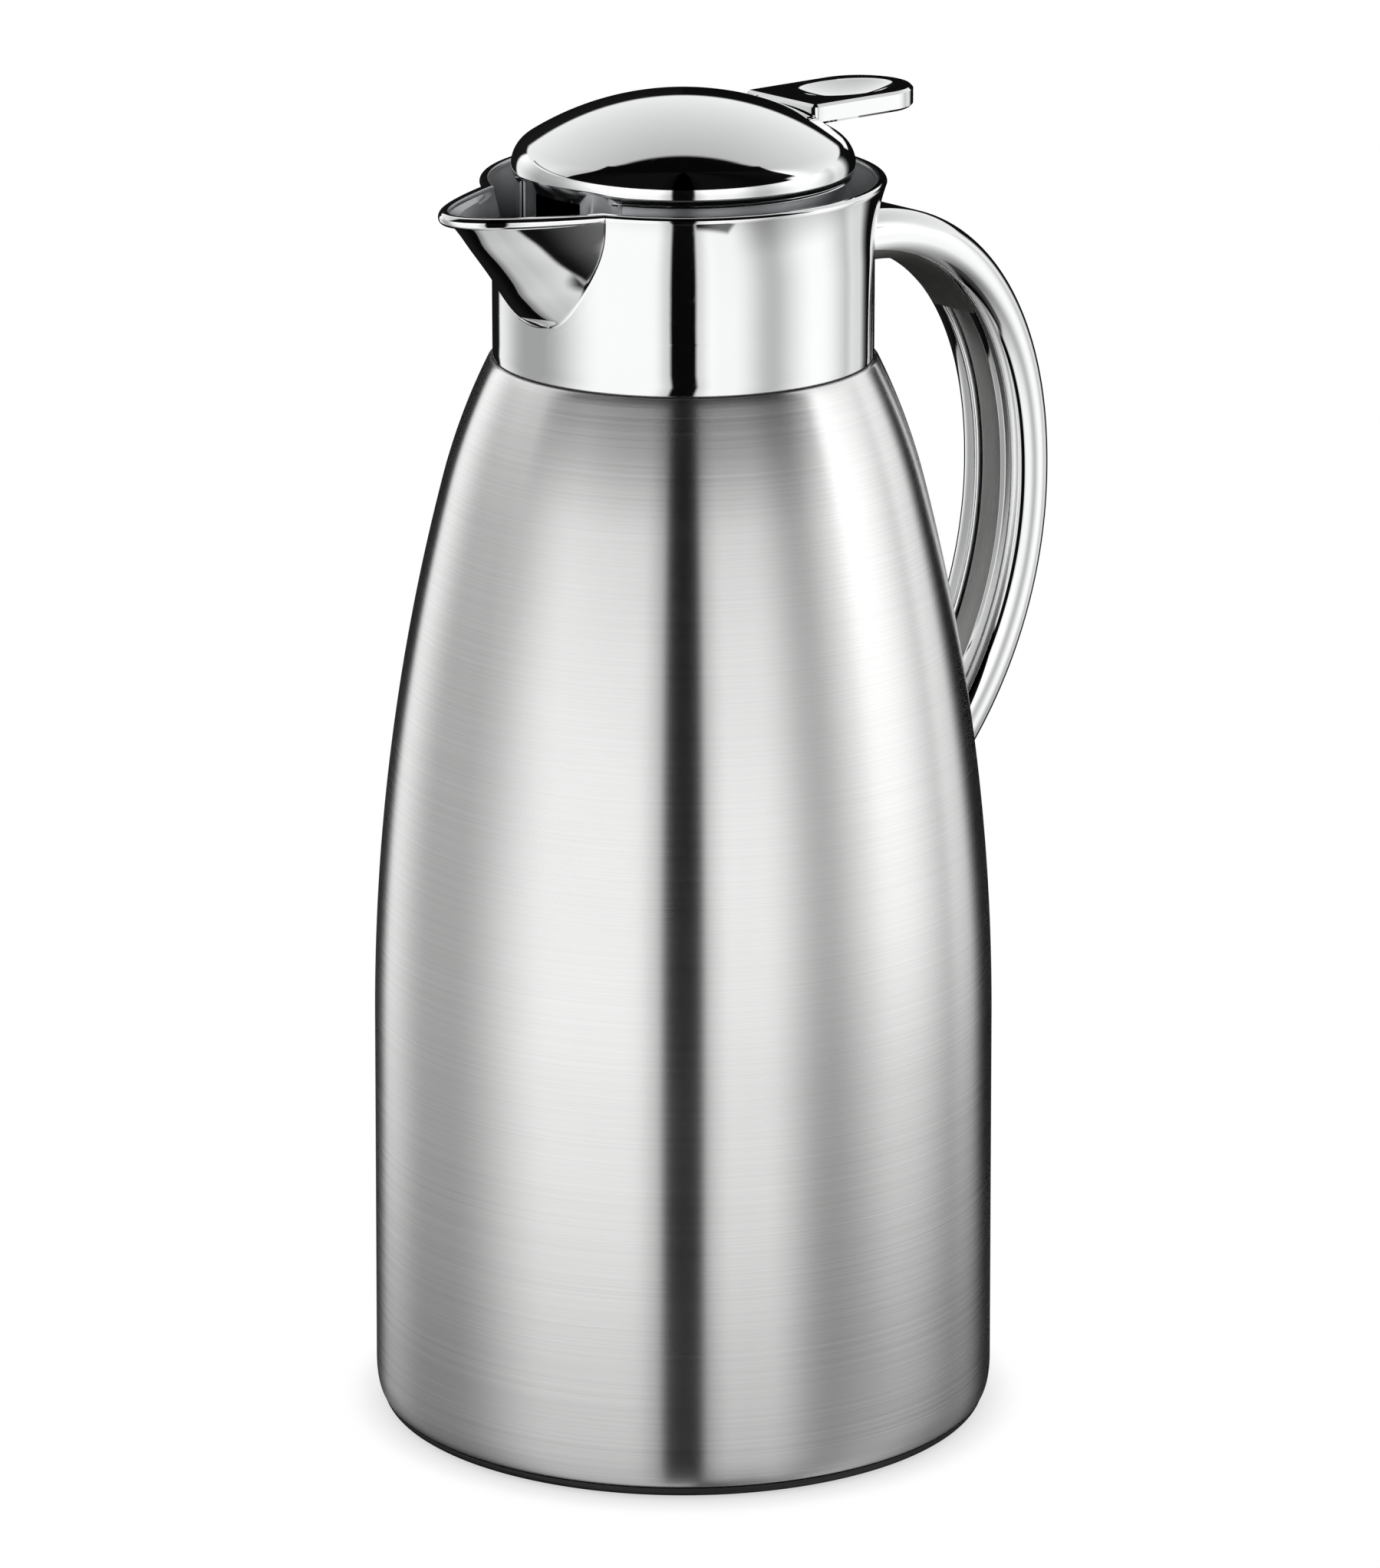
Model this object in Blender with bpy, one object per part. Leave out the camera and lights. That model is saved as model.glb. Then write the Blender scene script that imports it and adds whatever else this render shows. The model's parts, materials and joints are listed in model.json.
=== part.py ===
"""Insulated pouring jug: a double-walled steel flask with a chromed collar and spout, a bent handle, and a
screw-in closure whose thumb lever lifts a pouring valve. Metres, +Z up, with the origin on the table under
the jug's axis. The handle and the thumb lever point to +X, the spout to -X."""

import math

import bmesh
import bpy
from mathutils import Matrix, Vector

MM = 0.001

# Clearances
GAP = 0.3 * MM
RUNNING_GAP = 0.4 * MM

# Facets of turned pieces
TURN_STEPS = 40
MEDIUM_STEPS = 24
SMALL_STEPS = 12
ARC_STEPS = 5
BELLY_STEPS = 7
CROWN_ARC_STEPS = 7
RIM_STEPS = 3
HUB_STEPS = 8
ARCH_STEPS = 12
LEVER_END_STEPS = 14
DISH_RINGS = 16
SMOOTH_ANGLE = math.radians(35)
BEVEL_ANGLE = math.radians(50)

# Outer shell
FOOT_R = 65.4 * MM
FOOT_Z = 9.0 * MM
FOOT_INSET = 1.3 * MM
FOOT_TURN = (0.35, 0.3)
SEAM_Z = 3.0 * MM
WAIST_R = 64.9 * MM
WAIST_Z = 85.0 * MM
SHOULDER_R = 49.9 * MM
SHOULDER_Z = 200.0 * MM
NECK_Z = 226.2 * MM
NECK_STEP = 1.0 * MM
LEDGE_RISE = 0.4 * MM
NECK_H = 13.6 * MM
SHELL_WALL = 0.7 * MM

# Flask
MOUTH_R = 30.7 * MM
FLASK_WALL = 0.6 * MM
VACUUM_GAP = 7.0 * MM
FLASK_CORNER_R = 12.0 * MM
FLASK_NECK_L = 20.0 * MM
FLASK_SHOULDER_L = 24.0 * MM
GASKET_H = 2.1 * MM

# Base
PAD_R = 52.0 * MM
PAD_T = 1.5 * MM
PAD_PROUD = 0.4 * MM
BASE_T = 1.8 * MM
BASE_INSET = 2.6 * MM
BASE_TURN = (0.3, 0.35)
SPIGOT_H = 3.0 * MM
SPIGOT_WALL = 2.0 * MM
BOTTOM_LIFT = 5.5 * MM
BOTTOM_FLANGE_H = 2.5 * MM
BOTTOM_CLEAR = 5.0 * MM
PLUG_BUTTON_R = 6.0 * MM
PLUG_BUTTON_T = 1.0 * MM
PLUG_FACE_R = 4.8 * MM

# Threaded insert and stopper, from the mouth inwards
INSERT_WALL = 3.3 * MM
INSERT_L = 18.0 * MM
INSERT_FLANGE_T = 1.7 * MM
THREAD_DEPTH = 1.6 * MM
THREAD_ROOT = 3.0 * MM
THREAD_CREST = 1.8 * MM
THREAD_LEAD = 24.0 * MM
THREAD_STARTS = 3
THREAD_SWEEP = math.radians(110)
THREAD_STEPS = 11
THREAD_BITE = 0.5 * MM
THREAD_DROP = 10.6 * MM
STOPPER_WALL = 2.0 * MM
STOPPER_L = 22.6 * MM
SEAT_T = 3.0 * MM
SEAT_HOLE_R = 11.0 * MM
SEAT_LAND = 3.5 * MM
SEAT_CHAMFER = 1.0 * MM

# Drum of the closure, from the stopper outwards
SEAL_INSET = 0.6 * MM
SEAL_W = 3.9 * MM
SEAL_T = 1.7 * MM
SEAL_PLAY = 0.5 * MM
DRUM_WALL = 1.8 * MM
DRUM_FLOOR_T = 2.0 * MM
DRUM_H = 14.4 * MM
DRUM_LIP_CLEAR = 0.5 * MM
WINDOW_W = 14.0 * MM
WINDOW_SILL = 0.4 * MM
WINDOW_HEAD = 0.6 * MM
POST_R = 3.0 * MM
POST_INSET = 4.5 * MM
POST_ANGLES = [math.radians(a) for a in (60, 130, -130, -60)]

# Lid frame
FRAME_T = 2.0 * MM
FRAME_DROP = 0.7 * MM
GUIDE_R = 5.0 * MM
GUIDE_L = 5.3 * MM
STEM_SEAL_W = 2.1 * MM
STEM_SEAL_T = 1.1 * MM

# Collar and spout
TROUGH_W = 2.8 * MM
COLLAR_WALL = 2.6 * MM
COLLAR_H = 37.1 * MM
COLLAR_FLOOR_T = 2.5 * MM
FLANGE_PLAY = 0.6 * MM
FLARE_H = 14.0 * MM
FLARE_OUT = 2.4 * MM
RIM_W = 2.2 * MM
RIM_ROUND = 0.8 * MM
SPOUT_REACH = 23.3 * MM
SPOUT_DEPTH = 25.5 * MM
SPOUT_LIP_H = 3.0 * MM
SPOUT_HALF_W = 18.6 * MM
SPOUT_WALL = 2.2 * MM
SPOUT_STEPS = 12
SPOUT_LEVELS = 4

# Dome of the lid
DOME_CROWN_R = 60.0 * MM
DOME_RISE = 14.0 * MM
DOME_LIP_W = 1.1 * MM
DOME_SKIRT_H = 2.5 * MM
DOME_EDGE_R = 4.0 * MM
DOME_BULLNOSE = 2.0 * MM
DOME_WALL = 1.6 * MM
DOME_SEAT_W = 2.6 * MM
ARCH_H = 2.0 * MM
ARCH_HALF_W = 17.0 * MM
ARCH_DEPTH = 15.0 * MM

# Thumb lever and its pivot
PIVOT_INSET = 7.8 * MM
HUB_R = 2.2 * MM
HUB_HALF_W = 8.0 * MM
EAR_T = 2.7 * MM
LEVER_PIN_R = 1.2 * MM
LEVER_W = 22.0 * MM
LEVER_T = 3.7 * MM
LEVER_RISE = 8.2 * MM
LEVER_REACH = 32.9 * MM
LEVER_FRONT = 0.1 * MM
LEVER_BEVEL = 0.5 * MM
NECK_BLOCK_L = 4.5 * MM
SLOT_FRONT = 0.6 * MM
SLOT_BACK = 5.7 * MM
DISH_X = 18.0 * MM
DISH_A = 11.0 * MM
DISH_B = 8.0 * MM
DISH_DEPTH = 2.2 * MM
DISH_FLATNESS = 0.7
FORK_HALF_W = 5.0 * MM
FORK_RISE = 1.2 * MM
FORK_CLEAR = 0.6 * MM
FORK_OVER = 1.5 * MM

# Valve
STEM_R = 2.0 * MM
STEM_FOOT_R = 5.0 * MM
STEM_FOOT_T = 1.5 * MM
STEM_PIN_R = 1.0 * MM
STEM_CROWN = 1.7 * MM
VALVE_SEAL_T = 1.5 * MM
VALVE_HEAD_T = 2.4 * MM
CLIP_W = 2.2 * MM
CLIP_T = 1.0 * MM
SPRING_WIRE_R = 0.6 * MM
SPRING_R = 7.5 * MM
SPRING_TURNS = 7
SPRING_TURN_POINTS = 9

# Small screws of the lid and the handle
SCREW_R = 1.1 * MM
SCREW_HEAD_R = 2.4 * MM
SCREW_HEAD_T = 1.5 * MM
SCREW_HEAD_EDGE = 0.9 * MM
SCREW_FACE_R = 1.7 * MM
LID_SCREW_L = 9.0 * MM

# Handle: centreline in the XZ plane, and its section across (y) and outwards (v)
HANDLE_ROOT_DROP = 17.5 * MM
HANDLE_STRAIGHT = 5.8 * MM
HANDLE_REACH = 90.3 * MM
HANDLE_DROP = 57.5 * MM
HANDLE_SWEEP_R = 98.0 * MM
HANDLE_HALF_W = 9.5 * MM
HANDLE_CROWN = 6.0 * MM
HANDLE_LIP = 4.0 * MM
HANDLE_LIP_ROUND = 1.8 * MM
HANDLE_LIP_TURN = (0.3, 0.35)
HANDLE_CENTRE = 1.0 * MM
CHANNEL_HALF_W = 5.5 * MM
CHANNEL_ROOF_T = 2.8 * MM
HOLE_COVER = 0.9 * MM
TAB_T = 3.1 * MM
TAB_L = 16.0 * MM
STRIP_RECESS = 2.0 * MM
COVER_T = 1.4 * MM
COVER_RECESS = 0.2 * MM
COVER_TOP_L = 46.0 * MM
COVER_BOTTOM_L = 17.0 * MM
TOP_SCREWS = (5.5 * MM, 11.5 * MM)
BOTTOM_SCREW = 8.0 * MM
PATH_STEPS = 26
PATH_POINTS = 104
CROWN_STEPS = 8

# Radii that follow, from the mouth outwards
FLASK_NECK_R = MOUTH_R + FLASK_WALL
SHELL_NECK_R = FLASK_NECK_R + GAP + SHELL_WALL
COLLAR_BORE_R = SHELL_NECK_R + RUNNING_GAP
INSERT_R = MOUTH_R - RUNNING_GAP
INSERT_BORE_R = INSERT_R - INSERT_WALL
STOPPER_R = INSERT_BORE_R - THREAD_DEPTH - RUNNING_GAP
STOPPER_BORE_R = STOPPER_R - STOPPER_WALL
SEAL_IN_R = INSERT_BORE_R + SEAL_INSET
SEAL_OUT_R = SEAL_IN_R + SEAL_W
DRUM_BORE_R = SEAL_OUT_R + SEAL_PLAY
DRUM_R = DRUM_BORE_R + DRUM_WALL
FRAME_R = DRUM_BORE_R - GAP
COLLAR_BORE_TOP_R = DRUM_R + TROUGH_W
COLLAR_R = COLLAR_BORE_TOP_R + COLLAR_WALL
RIM_R = COLLAR_R + FLARE_OUT
NECK_R = COLLAR_R + NECK_STEP
POST_RING_R = DRUM_BORE_R - POST_INSET
DOME_LIP_R = DRUM_R + GAP
DOME_R = DOME_LIP_R + DOME_LIP_W
VALVE_R = SEAT_HOLE_R + SEAT_LAND

# Heights that follow, from the table upwards
BASE_Z = PAD_PROUD
PAD_TOP_Z = PAD_T
BASE_FLOOR_Z = PAD_TOP_Z + GAP
BASE_TOP_Z = BASE_FLOOR_Z + BASE_T
BASE_SHOULDER_Z = SEAM_Z - GAP
SPIGOT_Z = SEAM_Z + SPIGOT_H
BOTTOM_Z = SEAM_Z + BOTTOM_LIFT
BOTTOM_TOP_Z = BOTTOM_Z + SHELL_WALL
FLASK_Z = BOTTOM_TOP_Z + BOTTOM_CLEAR
LEDGE_Z = NECK_Z + LEDGE_RISE
SHELL_TOP_Z = LEDGE_Z + NECK_H
FLASK_LIP_Z = SHELL_TOP_Z + GAP
FLASK_TOP_Z = FLASK_LIP_Z + FLASK_WALL
GASKET_Z = FLASK_TOP_Z + GAP
COLLAR_Z = LEDGE_Z + GAP
COLLAR_FLOOR_Z = GASKET_Z + GASKET_H + GAP
COLLAR_FLOOR_TOP_Z = COLLAR_FLOOR_Z + COLLAR_FLOOR_T
RIM_Z = COLLAR_Z + COLLAR_H
FLANGE_Z = COLLAR_FLOOR_TOP_Z + GAP
FLANGE_TOP_Z = FLANGE_Z + INSERT_FLANGE_T
INSERT_Z = FLANGE_Z - INSERT_L
SEAL_Z = FLANGE_TOP_Z + GAP
SEAL_TOP_Z = SEAL_Z + SEAL_T
DRUM_FLOOR_Z = SEAL_TOP_Z + GAP
DRUM_FLOOR_TOP_Z = DRUM_FLOOR_Z + DRUM_FLOOR_T
DRUM_TOP_Z = DRUM_FLOOR_TOP_Z + DRUM_H
DRUM_LIP_Z = FLANGE_TOP_Z + DRUM_LIP_CLEAR
STOPPER_Z = DRUM_FLOOR_Z - STOPPER_L
SEAT_Z = STOPPER_Z + SEAT_T
FRAME_TOP_Z = DRUM_TOP_Z - FRAME_DROP
FRAME_Z = FRAME_TOP_Z - FRAME_T
DOME_SEAT_Z = DRUM_TOP_Z + GAP
DOME_Z = DOME_SEAT_Z - DOME_SKIRT_H
DOME_APEX_Z = DOME_SEAT_Z + DOME_RISE
VALVE_SEAL_Z = SEAT_Z + GAP
VALVE_HEAD_Z = VALVE_SEAL_Z + VALVE_SEAL_T + GAP
VALVE_TOP_Z = VALVE_HEAD_Z + VALVE_HEAD_T
PIVOT_X = DRUM_R - PIVOT_INSET
PIVOT_Z = FRAME_TOP_Z + GAP + HUB_R
LEVER_TOP_Z = PIVOT_Z + LEVER_RISE
LEVER_Z = LEVER_TOP_Z - LEVER_T
FORK_TOP_Z = PIVOT_Z + FORK_RISE
STEM_PIN_Z = FORK_TOP_Z + GAP + STEM_PIN_R
STEM_TOP_Z = STEM_PIN_Z + STEM_CROWN
HANDLE_ROOT_Z = RIM_Z - HANDLE_ROOT_DROP

# The handle's section levels, outwards from its centreline
CROWN_V = HANDLE_CROWN - HANDLE_CENTRE
LIP_V = CROWN_V - HANDLE_CROWN - HANDLE_LIP
ROOF_V = CROWN_V - CHANNEL_ROOF_T
TAB_TOP_V = ROOF_V - GAP
TAB_V = TAB_TOP_V - TAB_T
SCREW_HEAD_V = TAB_V - GAP
COVER_V = LIP_V + COVER_RECESS
HOLE_TOP_V = CROWN_V - HOLE_COVER
INLAY_HALF_W = CHANNEL_HALF_W - GAP

AXIS = Vector((0, 0, 0))


def finish(name, colour, roughness, metallic):
    material = bpy.data.materials.new(name)
    material.use_nodes = True
    shader = material.node_tree.nodes["Principled BSDF"]
    shader.inputs["Base Color"].default_value = (*colour, 1)
    shader.inputs["Roughness"].default_value = roughness
    shader.inputs["Metallic"].default_value = metallic
    return material


def add(name, mesh, material, origin=AXIS):
    """Puts a mesh that was made in place into the scene, with its object's origin at the given point."""
    mesh.transform(Matrix.Translation(-Vector(origin)))
    mesh.materials.append(material)
    obj = bpy.data.objects.new(name, mesh)
    obj.location = origin
    bpy.context.scene.collection.objects.link(obj)
    return obj


def smooth(mesh):
    mesh.shade_smooth()
    mesh.set_sharp_from_angle(angle=SMOOTH_ANGLE)


def arc(centre, radius, start, end, steps=ARC_STEPS):
    """Points on a circle in the (r, z) plane, from one angle in degrees to another."""
    turn = [math.radians(start + (end - start) * i / steps) for i in range(steps + 1)]
    return [(centre[0] + radius * math.cos(a), centre[1] + radius * math.sin(a)) for a in turn]


def tangent_arc(start, heading, end, steps):
    """Points after start on the circle that leaves it along heading and reaches end."""
    begin, chord = Vector(start), Vector(end) - Vector(start)
    ahead = Vector(heading).normalized()
    side = Vector((-ahead.y, ahead.x))
    across = chord.dot(side)
    if abs(across) < 1e-9:
        return [tuple(begin + chord * (i + 1) / steps) for i in range(steps)]
    radius = chord.length_squared / (2 * across)
    sweep = 2 * math.atan2(across, chord.dot(ahead))
    points = []
    for i in range(steps):
        angle = sweep * (i + 1) / steps
        forward, sideways = radius * math.sin(angle), radius * (1 - math.cos(angle))
        points.append(tuple(begin + ahead * forward + side * sideways))
    return points


def offset(points, distance):
    """An open outline moved sideways to its left, with mitred corners."""
    moved = []
    for i, point in enumerate(points):
        here = Vector(point)
        before = (here - Vector(points[i - 1])).normalized() if i else None
        after = (Vector(points[i + 1]) - here).normalized() if i + 1 < len(points) else None
        before, after = before or after, after or before
        left = Vector((-before.y, before.x)) + Vector((-after.y, after.x))
        moved.append(tuple(here + left * (2 * distance / left.length_squared)))
    return moved


def radius_at(points, height):
    """The radius of an outline that climbs, at a height."""
    for (r0, z0), (r1, z1) in zip(points, points[1:]):
        if z0 <= height <= z1 and z1 > z0:
            return r0 + (r1 - r0) * (height - z0) / (z1 - z0)
    return points[-1][0]


def turned(name, profile, material, steps=TURN_STEPS, origin=AXIS):
    """A round piece from (r, z) points, which either close on themselves or end on the axis."""
    area = sum(a[0] * b[1] - b[0] * a[1] for a, b in zip(profile, profile[1:] + profile[:1]))
    points = profile if area < 0 else profile[::-1]
    closed = min(r for r, z in points) > 0
    edges = [(i, (i + 1) % len(points)) for i in range(len(points) if closed else len(points) - 1)]
    mesh = bpy.data.meshes.new(name)
    mesh.from_pydata([(r, 0, z) for r, z in points], edges, [])
    obj = add(name, mesh, material, origin)
    screw = obj.modifiers.new("Turn", "SCREW")
    screw.steps = screw.render_steps = steps
    screw.use_merge_vertices = True
    screw.merge_threshold = 1e-6
    return obj


def lofted(name, rings, material, origin=AXIS):
    """A closed body through rings of equally many points."""
    bm = bmesh.new()
    loops = [[bm.verts.new(point) for point in ring] for ring in rings]
    for low, high in zip(loops, loops[1:]):
        for i in range(len(low)):
            bm.faces.new((low[i - 1], low[i], high[i], high[i - 1]))
    bm.faces.new(loops[0])
    bm.faces.new(loops[-1])
    bmesh.ops.recalc_face_normals(bm, faces=bm.faces)
    mesh = bpy.data.meshes.new(name)
    bm.to_mesh(mesh)
    bm.free()
    smooth(mesh)
    return add(name, mesh, material, origin)


def block(name, low, high, material, origin=AXIS):
    corners = ((low[0], low[1]), (high[0], low[1]), (high[0], high[1]), (low[0], high[1]))
    return lofted(name, [[(x, y, z) for x, y in corners] for z in (low[2], high[2])], material, origin)


def rod(name, start, end, radius, material, steps=SMALL_STEPS, origin=AXIS):
    """A round bar between two points."""
    start, end = Vector(start), Vector(end)
    turn = (end - start).to_track_quat("Z", "Y")
    ring = []
    for i in range(steps):
        angle = 2 * math.pi * i / steps
        ring.append(turn @ Vector((radius * math.cos(angle), radius * math.sin(angle), 0)))
    return lofted(name, [[spot + point for point in ring] for spot in (start, end)], material, origin)


def boolean(target, tool, operation):
    modifier = target.modifiers.new(tool.name, "BOOLEAN")
    modifier.operation = operation
    modifier.object = tool
    tool.hide_render = True
    tool.display_type = "WIRE"


def cut(target, *tools):
    for tool in tools:
        boolean(target, tool, "DIFFERENCE")


def join(target, *tools):
    for tool in tools:
        boolean(target, tool, "UNION")


def screw_profile(length):
    """A pan-head screw that points up from its head's seat at zero."""
    return [
        (0, length),
        (SCREW_R, length),
        (SCREW_R, 0),
        (SCREW_HEAD_R, 0),
        (SCREW_HEAD_R, -SCREW_HEAD_EDGE),
        (SCREW_FACE_R, -SCREW_HEAD_T),
        (0, -SCREW_HEAD_T),
    ]


def screw(name, seat, direction, length, material):
    obj = turned(name, screw_profile(length), material, SMALL_STEPS)
    obj.rotation_mode = "QUATERNION"
    obj.rotation_quaternion = Vector(direction).to_track_quat("Z", "Y")
    obj.location = seat
    return obj


# Outline of the outer shell, from its lower edge to the ledge under the collar
def shell_outline():
    turn = (FOOT_R - FOOT_INSET * FOOT_TURN[0], SEAM_Z + (FOOT_Z - SEAM_Z) * FOOT_TURN[1])
    foot = [(FOOT_R - FOOT_INSET, SEAM_Z), turn, (FOOT_R, FOOT_Z), (WAIST_R, WAIST_Z)]
    rise = (WAIST_R - FOOT_R, WAIST_Z - FOOT_Z)
    belly = tangent_arc(foot[-1], rise, (SHOULDER_R, SHOULDER_Z), BELLY_STEPS)
    last = Vector(belly[-1]) - Vector(belly[-2])
    return foot + belly + tangent_arc(belly[-1], last, (NECK_R, NECK_Z), BELLY_STEPS // 2)


def shell(steel, outline):
    outside = outline + [(NECK_R - LEDGE_RISE, LEDGE_Z), (SHELL_NECK_R, LEDGE_Z), (SHELL_NECK_R, SHELL_TOP_Z)]
    return turned("outer_shell", outside + offset(outside, SHELL_WALL)[::-1], steel)


def flask(steel, outline):
    inset = SHELL_WALL + VACUUM_GAP
    neck_z = NECK_Z - FLASK_NECK_L + NECK_H
    shoulder_z = neck_z - FLASK_SHOULDER_L
    corner_z = FLASK_Z + FLASK_CORNER_R
    corner_r = radius_at(outline, corner_z) - inset - FLASK_CORNER_R
    outside = [(0, FLASK_Z)]
    outside += arc((corner_r, corner_z), FLASK_CORNER_R, -90, 0, BELLY_STEPS // 2)
    outside += [(r - inset, z) for r, z in outline if corner_z + FLASK_CORNER_R < z < shoulder_z - inset]
    start_r = radius_at(outline, shoulder_z) - inset
    for i in range(ARC_STEPS + 1):
        share = i / ARC_STEPS
        ease = share * share * (3 - 2 * share)
        outside.append((start_r + (FLASK_NECK_R - start_r) * ease, shoulder_z + FLASK_SHOULDER_L * share))
    outside += [(FLASK_NECK_R, FLASK_LIP_Z), (SHELL_NECK_R, FLASK_LIP_Z), (SHELL_NECK_R, FLASK_TOP_Z)]
    inside = offset(outside[1:-2], FLASK_WALL)
    inside[-1] = (MOUTH_R, FLASK_TOP_Z)
    return turned("inner_flask", outside + inside[::-1] + [(0, FLASK_Z + FLASK_WALL)], steel)


def base(steel, plastic, rubber):
    edge_r = FOOT_R - FOOT_INSET
    wall_r = edge_r - SHELL_WALL - RUNNING_GAP
    turned(
        "base_cover",
        [
            (0, BASE_TOP_Z),
            (wall_r - SPIGOT_WALL, BASE_TOP_Z),
            (wall_r - SPIGOT_WALL, SPIGOT_Z),
            (wall_r, SPIGOT_Z),
            (wall_r, BASE_SHOULDER_Z),
            (edge_r, BASE_SHOULDER_Z),
            (edge_r - BASE_INSET * BASE_TURN[0], BASE_Z + (BASE_SHOULDER_Z - BASE_Z) * BASE_TURN[1]),
            (edge_r - BASE_INSET, BASE_Z),
            (PAD_R + GAP, BASE_Z),
            (PAD_R + GAP, BASE_FLOOR_Z),
            (0, BASE_FLOOR_Z),
        ],
        plastic,
    )
    turned("non_slip_pad", [(0, PAD_TOP_Z), (PAD_R, PAD_TOP_Z), (PAD_R, 0), (0, 0)], rubber)
    disc_r = edge_r - SHELL_WALL - GAP
    turned(
        "shell_bottom",
        [
            (0, BOTTOM_TOP_Z),
            (disc_r, BOTTOM_TOP_Z),
            (disc_r, BOTTOM_TOP_Z - BOTTOM_FLANGE_H),
            (disc_r - SHELL_WALL, BOTTOM_TOP_Z - BOTTOM_FLANGE_H),
            (disc_r - SHELL_WALL, BOTTOM_Z),
            (0, BOTTOM_Z),
        ],
        steel,
    )
    button_z = BOTTOM_Z - GAP
    turned(
        "vacuum_plug",
        [
            (0, button_z),
            (PLUG_BUTTON_R, button_z),
            (PLUG_FACE_R, button_z - PLUG_BUTTON_T),
            (0, button_z - PLUG_BUTTON_T),
        ],
        steel,
        SMALL_STEPS,
    )


# Spout: a parabola in plan whose tip moves outwards as it climbs, up to an upright lip
def spout_body(name, shift, narrow, low_z, high_z, back_r, material):
    tip_r = COLLAR_R + SPOUT_REACH
    lean = SPOUT_REACH / (SPOUT_DEPTH - SPOUT_LIP_H)
    start_z = RIM_Z - SPOUT_DEPTH
    leave_r = math.sqrt(RIM_R**2 - SPOUT_HALF_W**2)
    parabola = (SPOUT_HALF_W - narrow) ** 2 / (tip_r - leave_r)
    lip_z = RIM_Z - SPOUT_LIP_H
    levels = [low_z + (lip_z - low_z) * i / SPOUT_LEVELS for i in range(SPOUT_LEVELS + 1)] + [high_z]
    rings = []
    for z in levels:
        tip = min(COLLAR_R + lean * (z - start_z), tip_r) - shift
        half = math.sqrt(parabola * (tip - back_r))
        across = [half * (2 * i / SPOUT_STEPS - 1) for i in range(SPOUT_STEPS + 1)]
        rings.append([(-(tip - y * y / parabola), y, z) for y in across])
    return lofted(name, rings, material)


def collar(chrome, path):
    flare_z = RIM_Z - RIM_ROUND - FLARE_H
    flare_r = (FLARE_H**2 + FLARE_OUT**2) / (2 * FLARE_OUT)
    flare_end = 180 - math.degrees(math.asin(FLARE_H / flare_r))
    inner_r = RIM_R - RIM_W
    profile = [(COLLAR_R, COLLAR_Z)]
    profile += arc((COLLAR_R + flare_r, flare_z), flare_r, 180, flare_end)
    profile += arc((RIM_R - RIM_ROUND, RIM_Z - RIM_ROUND), RIM_ROUND, 0, 90, RIM_STEPS)
    profile += arc((inner_r + RIM_ROUND, RIM_Z - RIM_ROUND), RIM_ROUND, 90, 180, RIM_STEPS)
    profile += [
        (COLLAR_BORE_TOP_R, flare_z),
        (COLLAR_BORE_TOP_R, COLLAR_FLOOR_TOP_Z),
        (MOUTH_R, COLLAR_FLOOR_TOP_Z),
        (MOUTH_R, COLLAR_FLOOR_Z),
        (COLLAR_BORE_R, COLLAR_FLOOR_Z),
        (COLLAR_BORE_R, COLLAR_Z),
    ]
    body = turned("collar", profile, chrome)
    middle_r = (COLLAR_R + COLLAR_BORE_TOP_R) / 2
    lean = SPOUT_REACH / (SPOUT_DEPTH - SPOUT_LIP_H)
    toe_z = RIM_Z - SPOUT_DEPTH - (COLLAR_R - middle_r - GAP) / lean
    join(body, spout_body("spout_outside", 0, 0, toe_z, RIM_Z, middle_r, chrome))
    slant = SPOUT_WALL * math.hypot(1, lean)
    channel_z = COLLAR_FLOOR_TOP_Z + GAP
    back_r = DRUM_R
    cut(body, spout_body("spout_channel", slant, SPOUT_WALL, channel_z, RIM_Z + SPOUT_WALL, back_r, chrome))
    tab = handle_run("collar_tab", path, -COLLAR_WALL / 2, TAB_L, tab_section(), chrome)
    join(body, tab)
    for i, along in enumerate(TOP_SCREWS):
        cut(body, screw_hole(f"collar_tab_hole_{i + 1}", path, along, chrome))
    return body


def thread_ribs(name, root_r, crest_r, base_z, material):
    """The helical ribs of one thread, each a tapered bar that climbs to the left."""
    ribs = []
    levels = [(root_r, side * THREAD_ROOT / 2) for side in (-1, 1)]
    levels += [(crest_r, side * THREAD_CREST / 2) for side in (1, -1)]
    for k in range(THREAD_STARTS):
        rings = []
        for i in range(THREAD_STEPS + 1):
            sweep = THREAD_SWEEP * i / THREAD_STEPS
            angle = 2 * math.pi * k / THREAD_STARTS + sweep
            rise = base_z + THREAD_LEAD * sweep / (2 * math.pi)
            rings.append([(r * math.cos(angle), r * math.sin(angle), rise + z) for r, z in levels])
        ribs.append(lofted(f"{name}_{k + 1}", rings, material))
    return ribs


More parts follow.
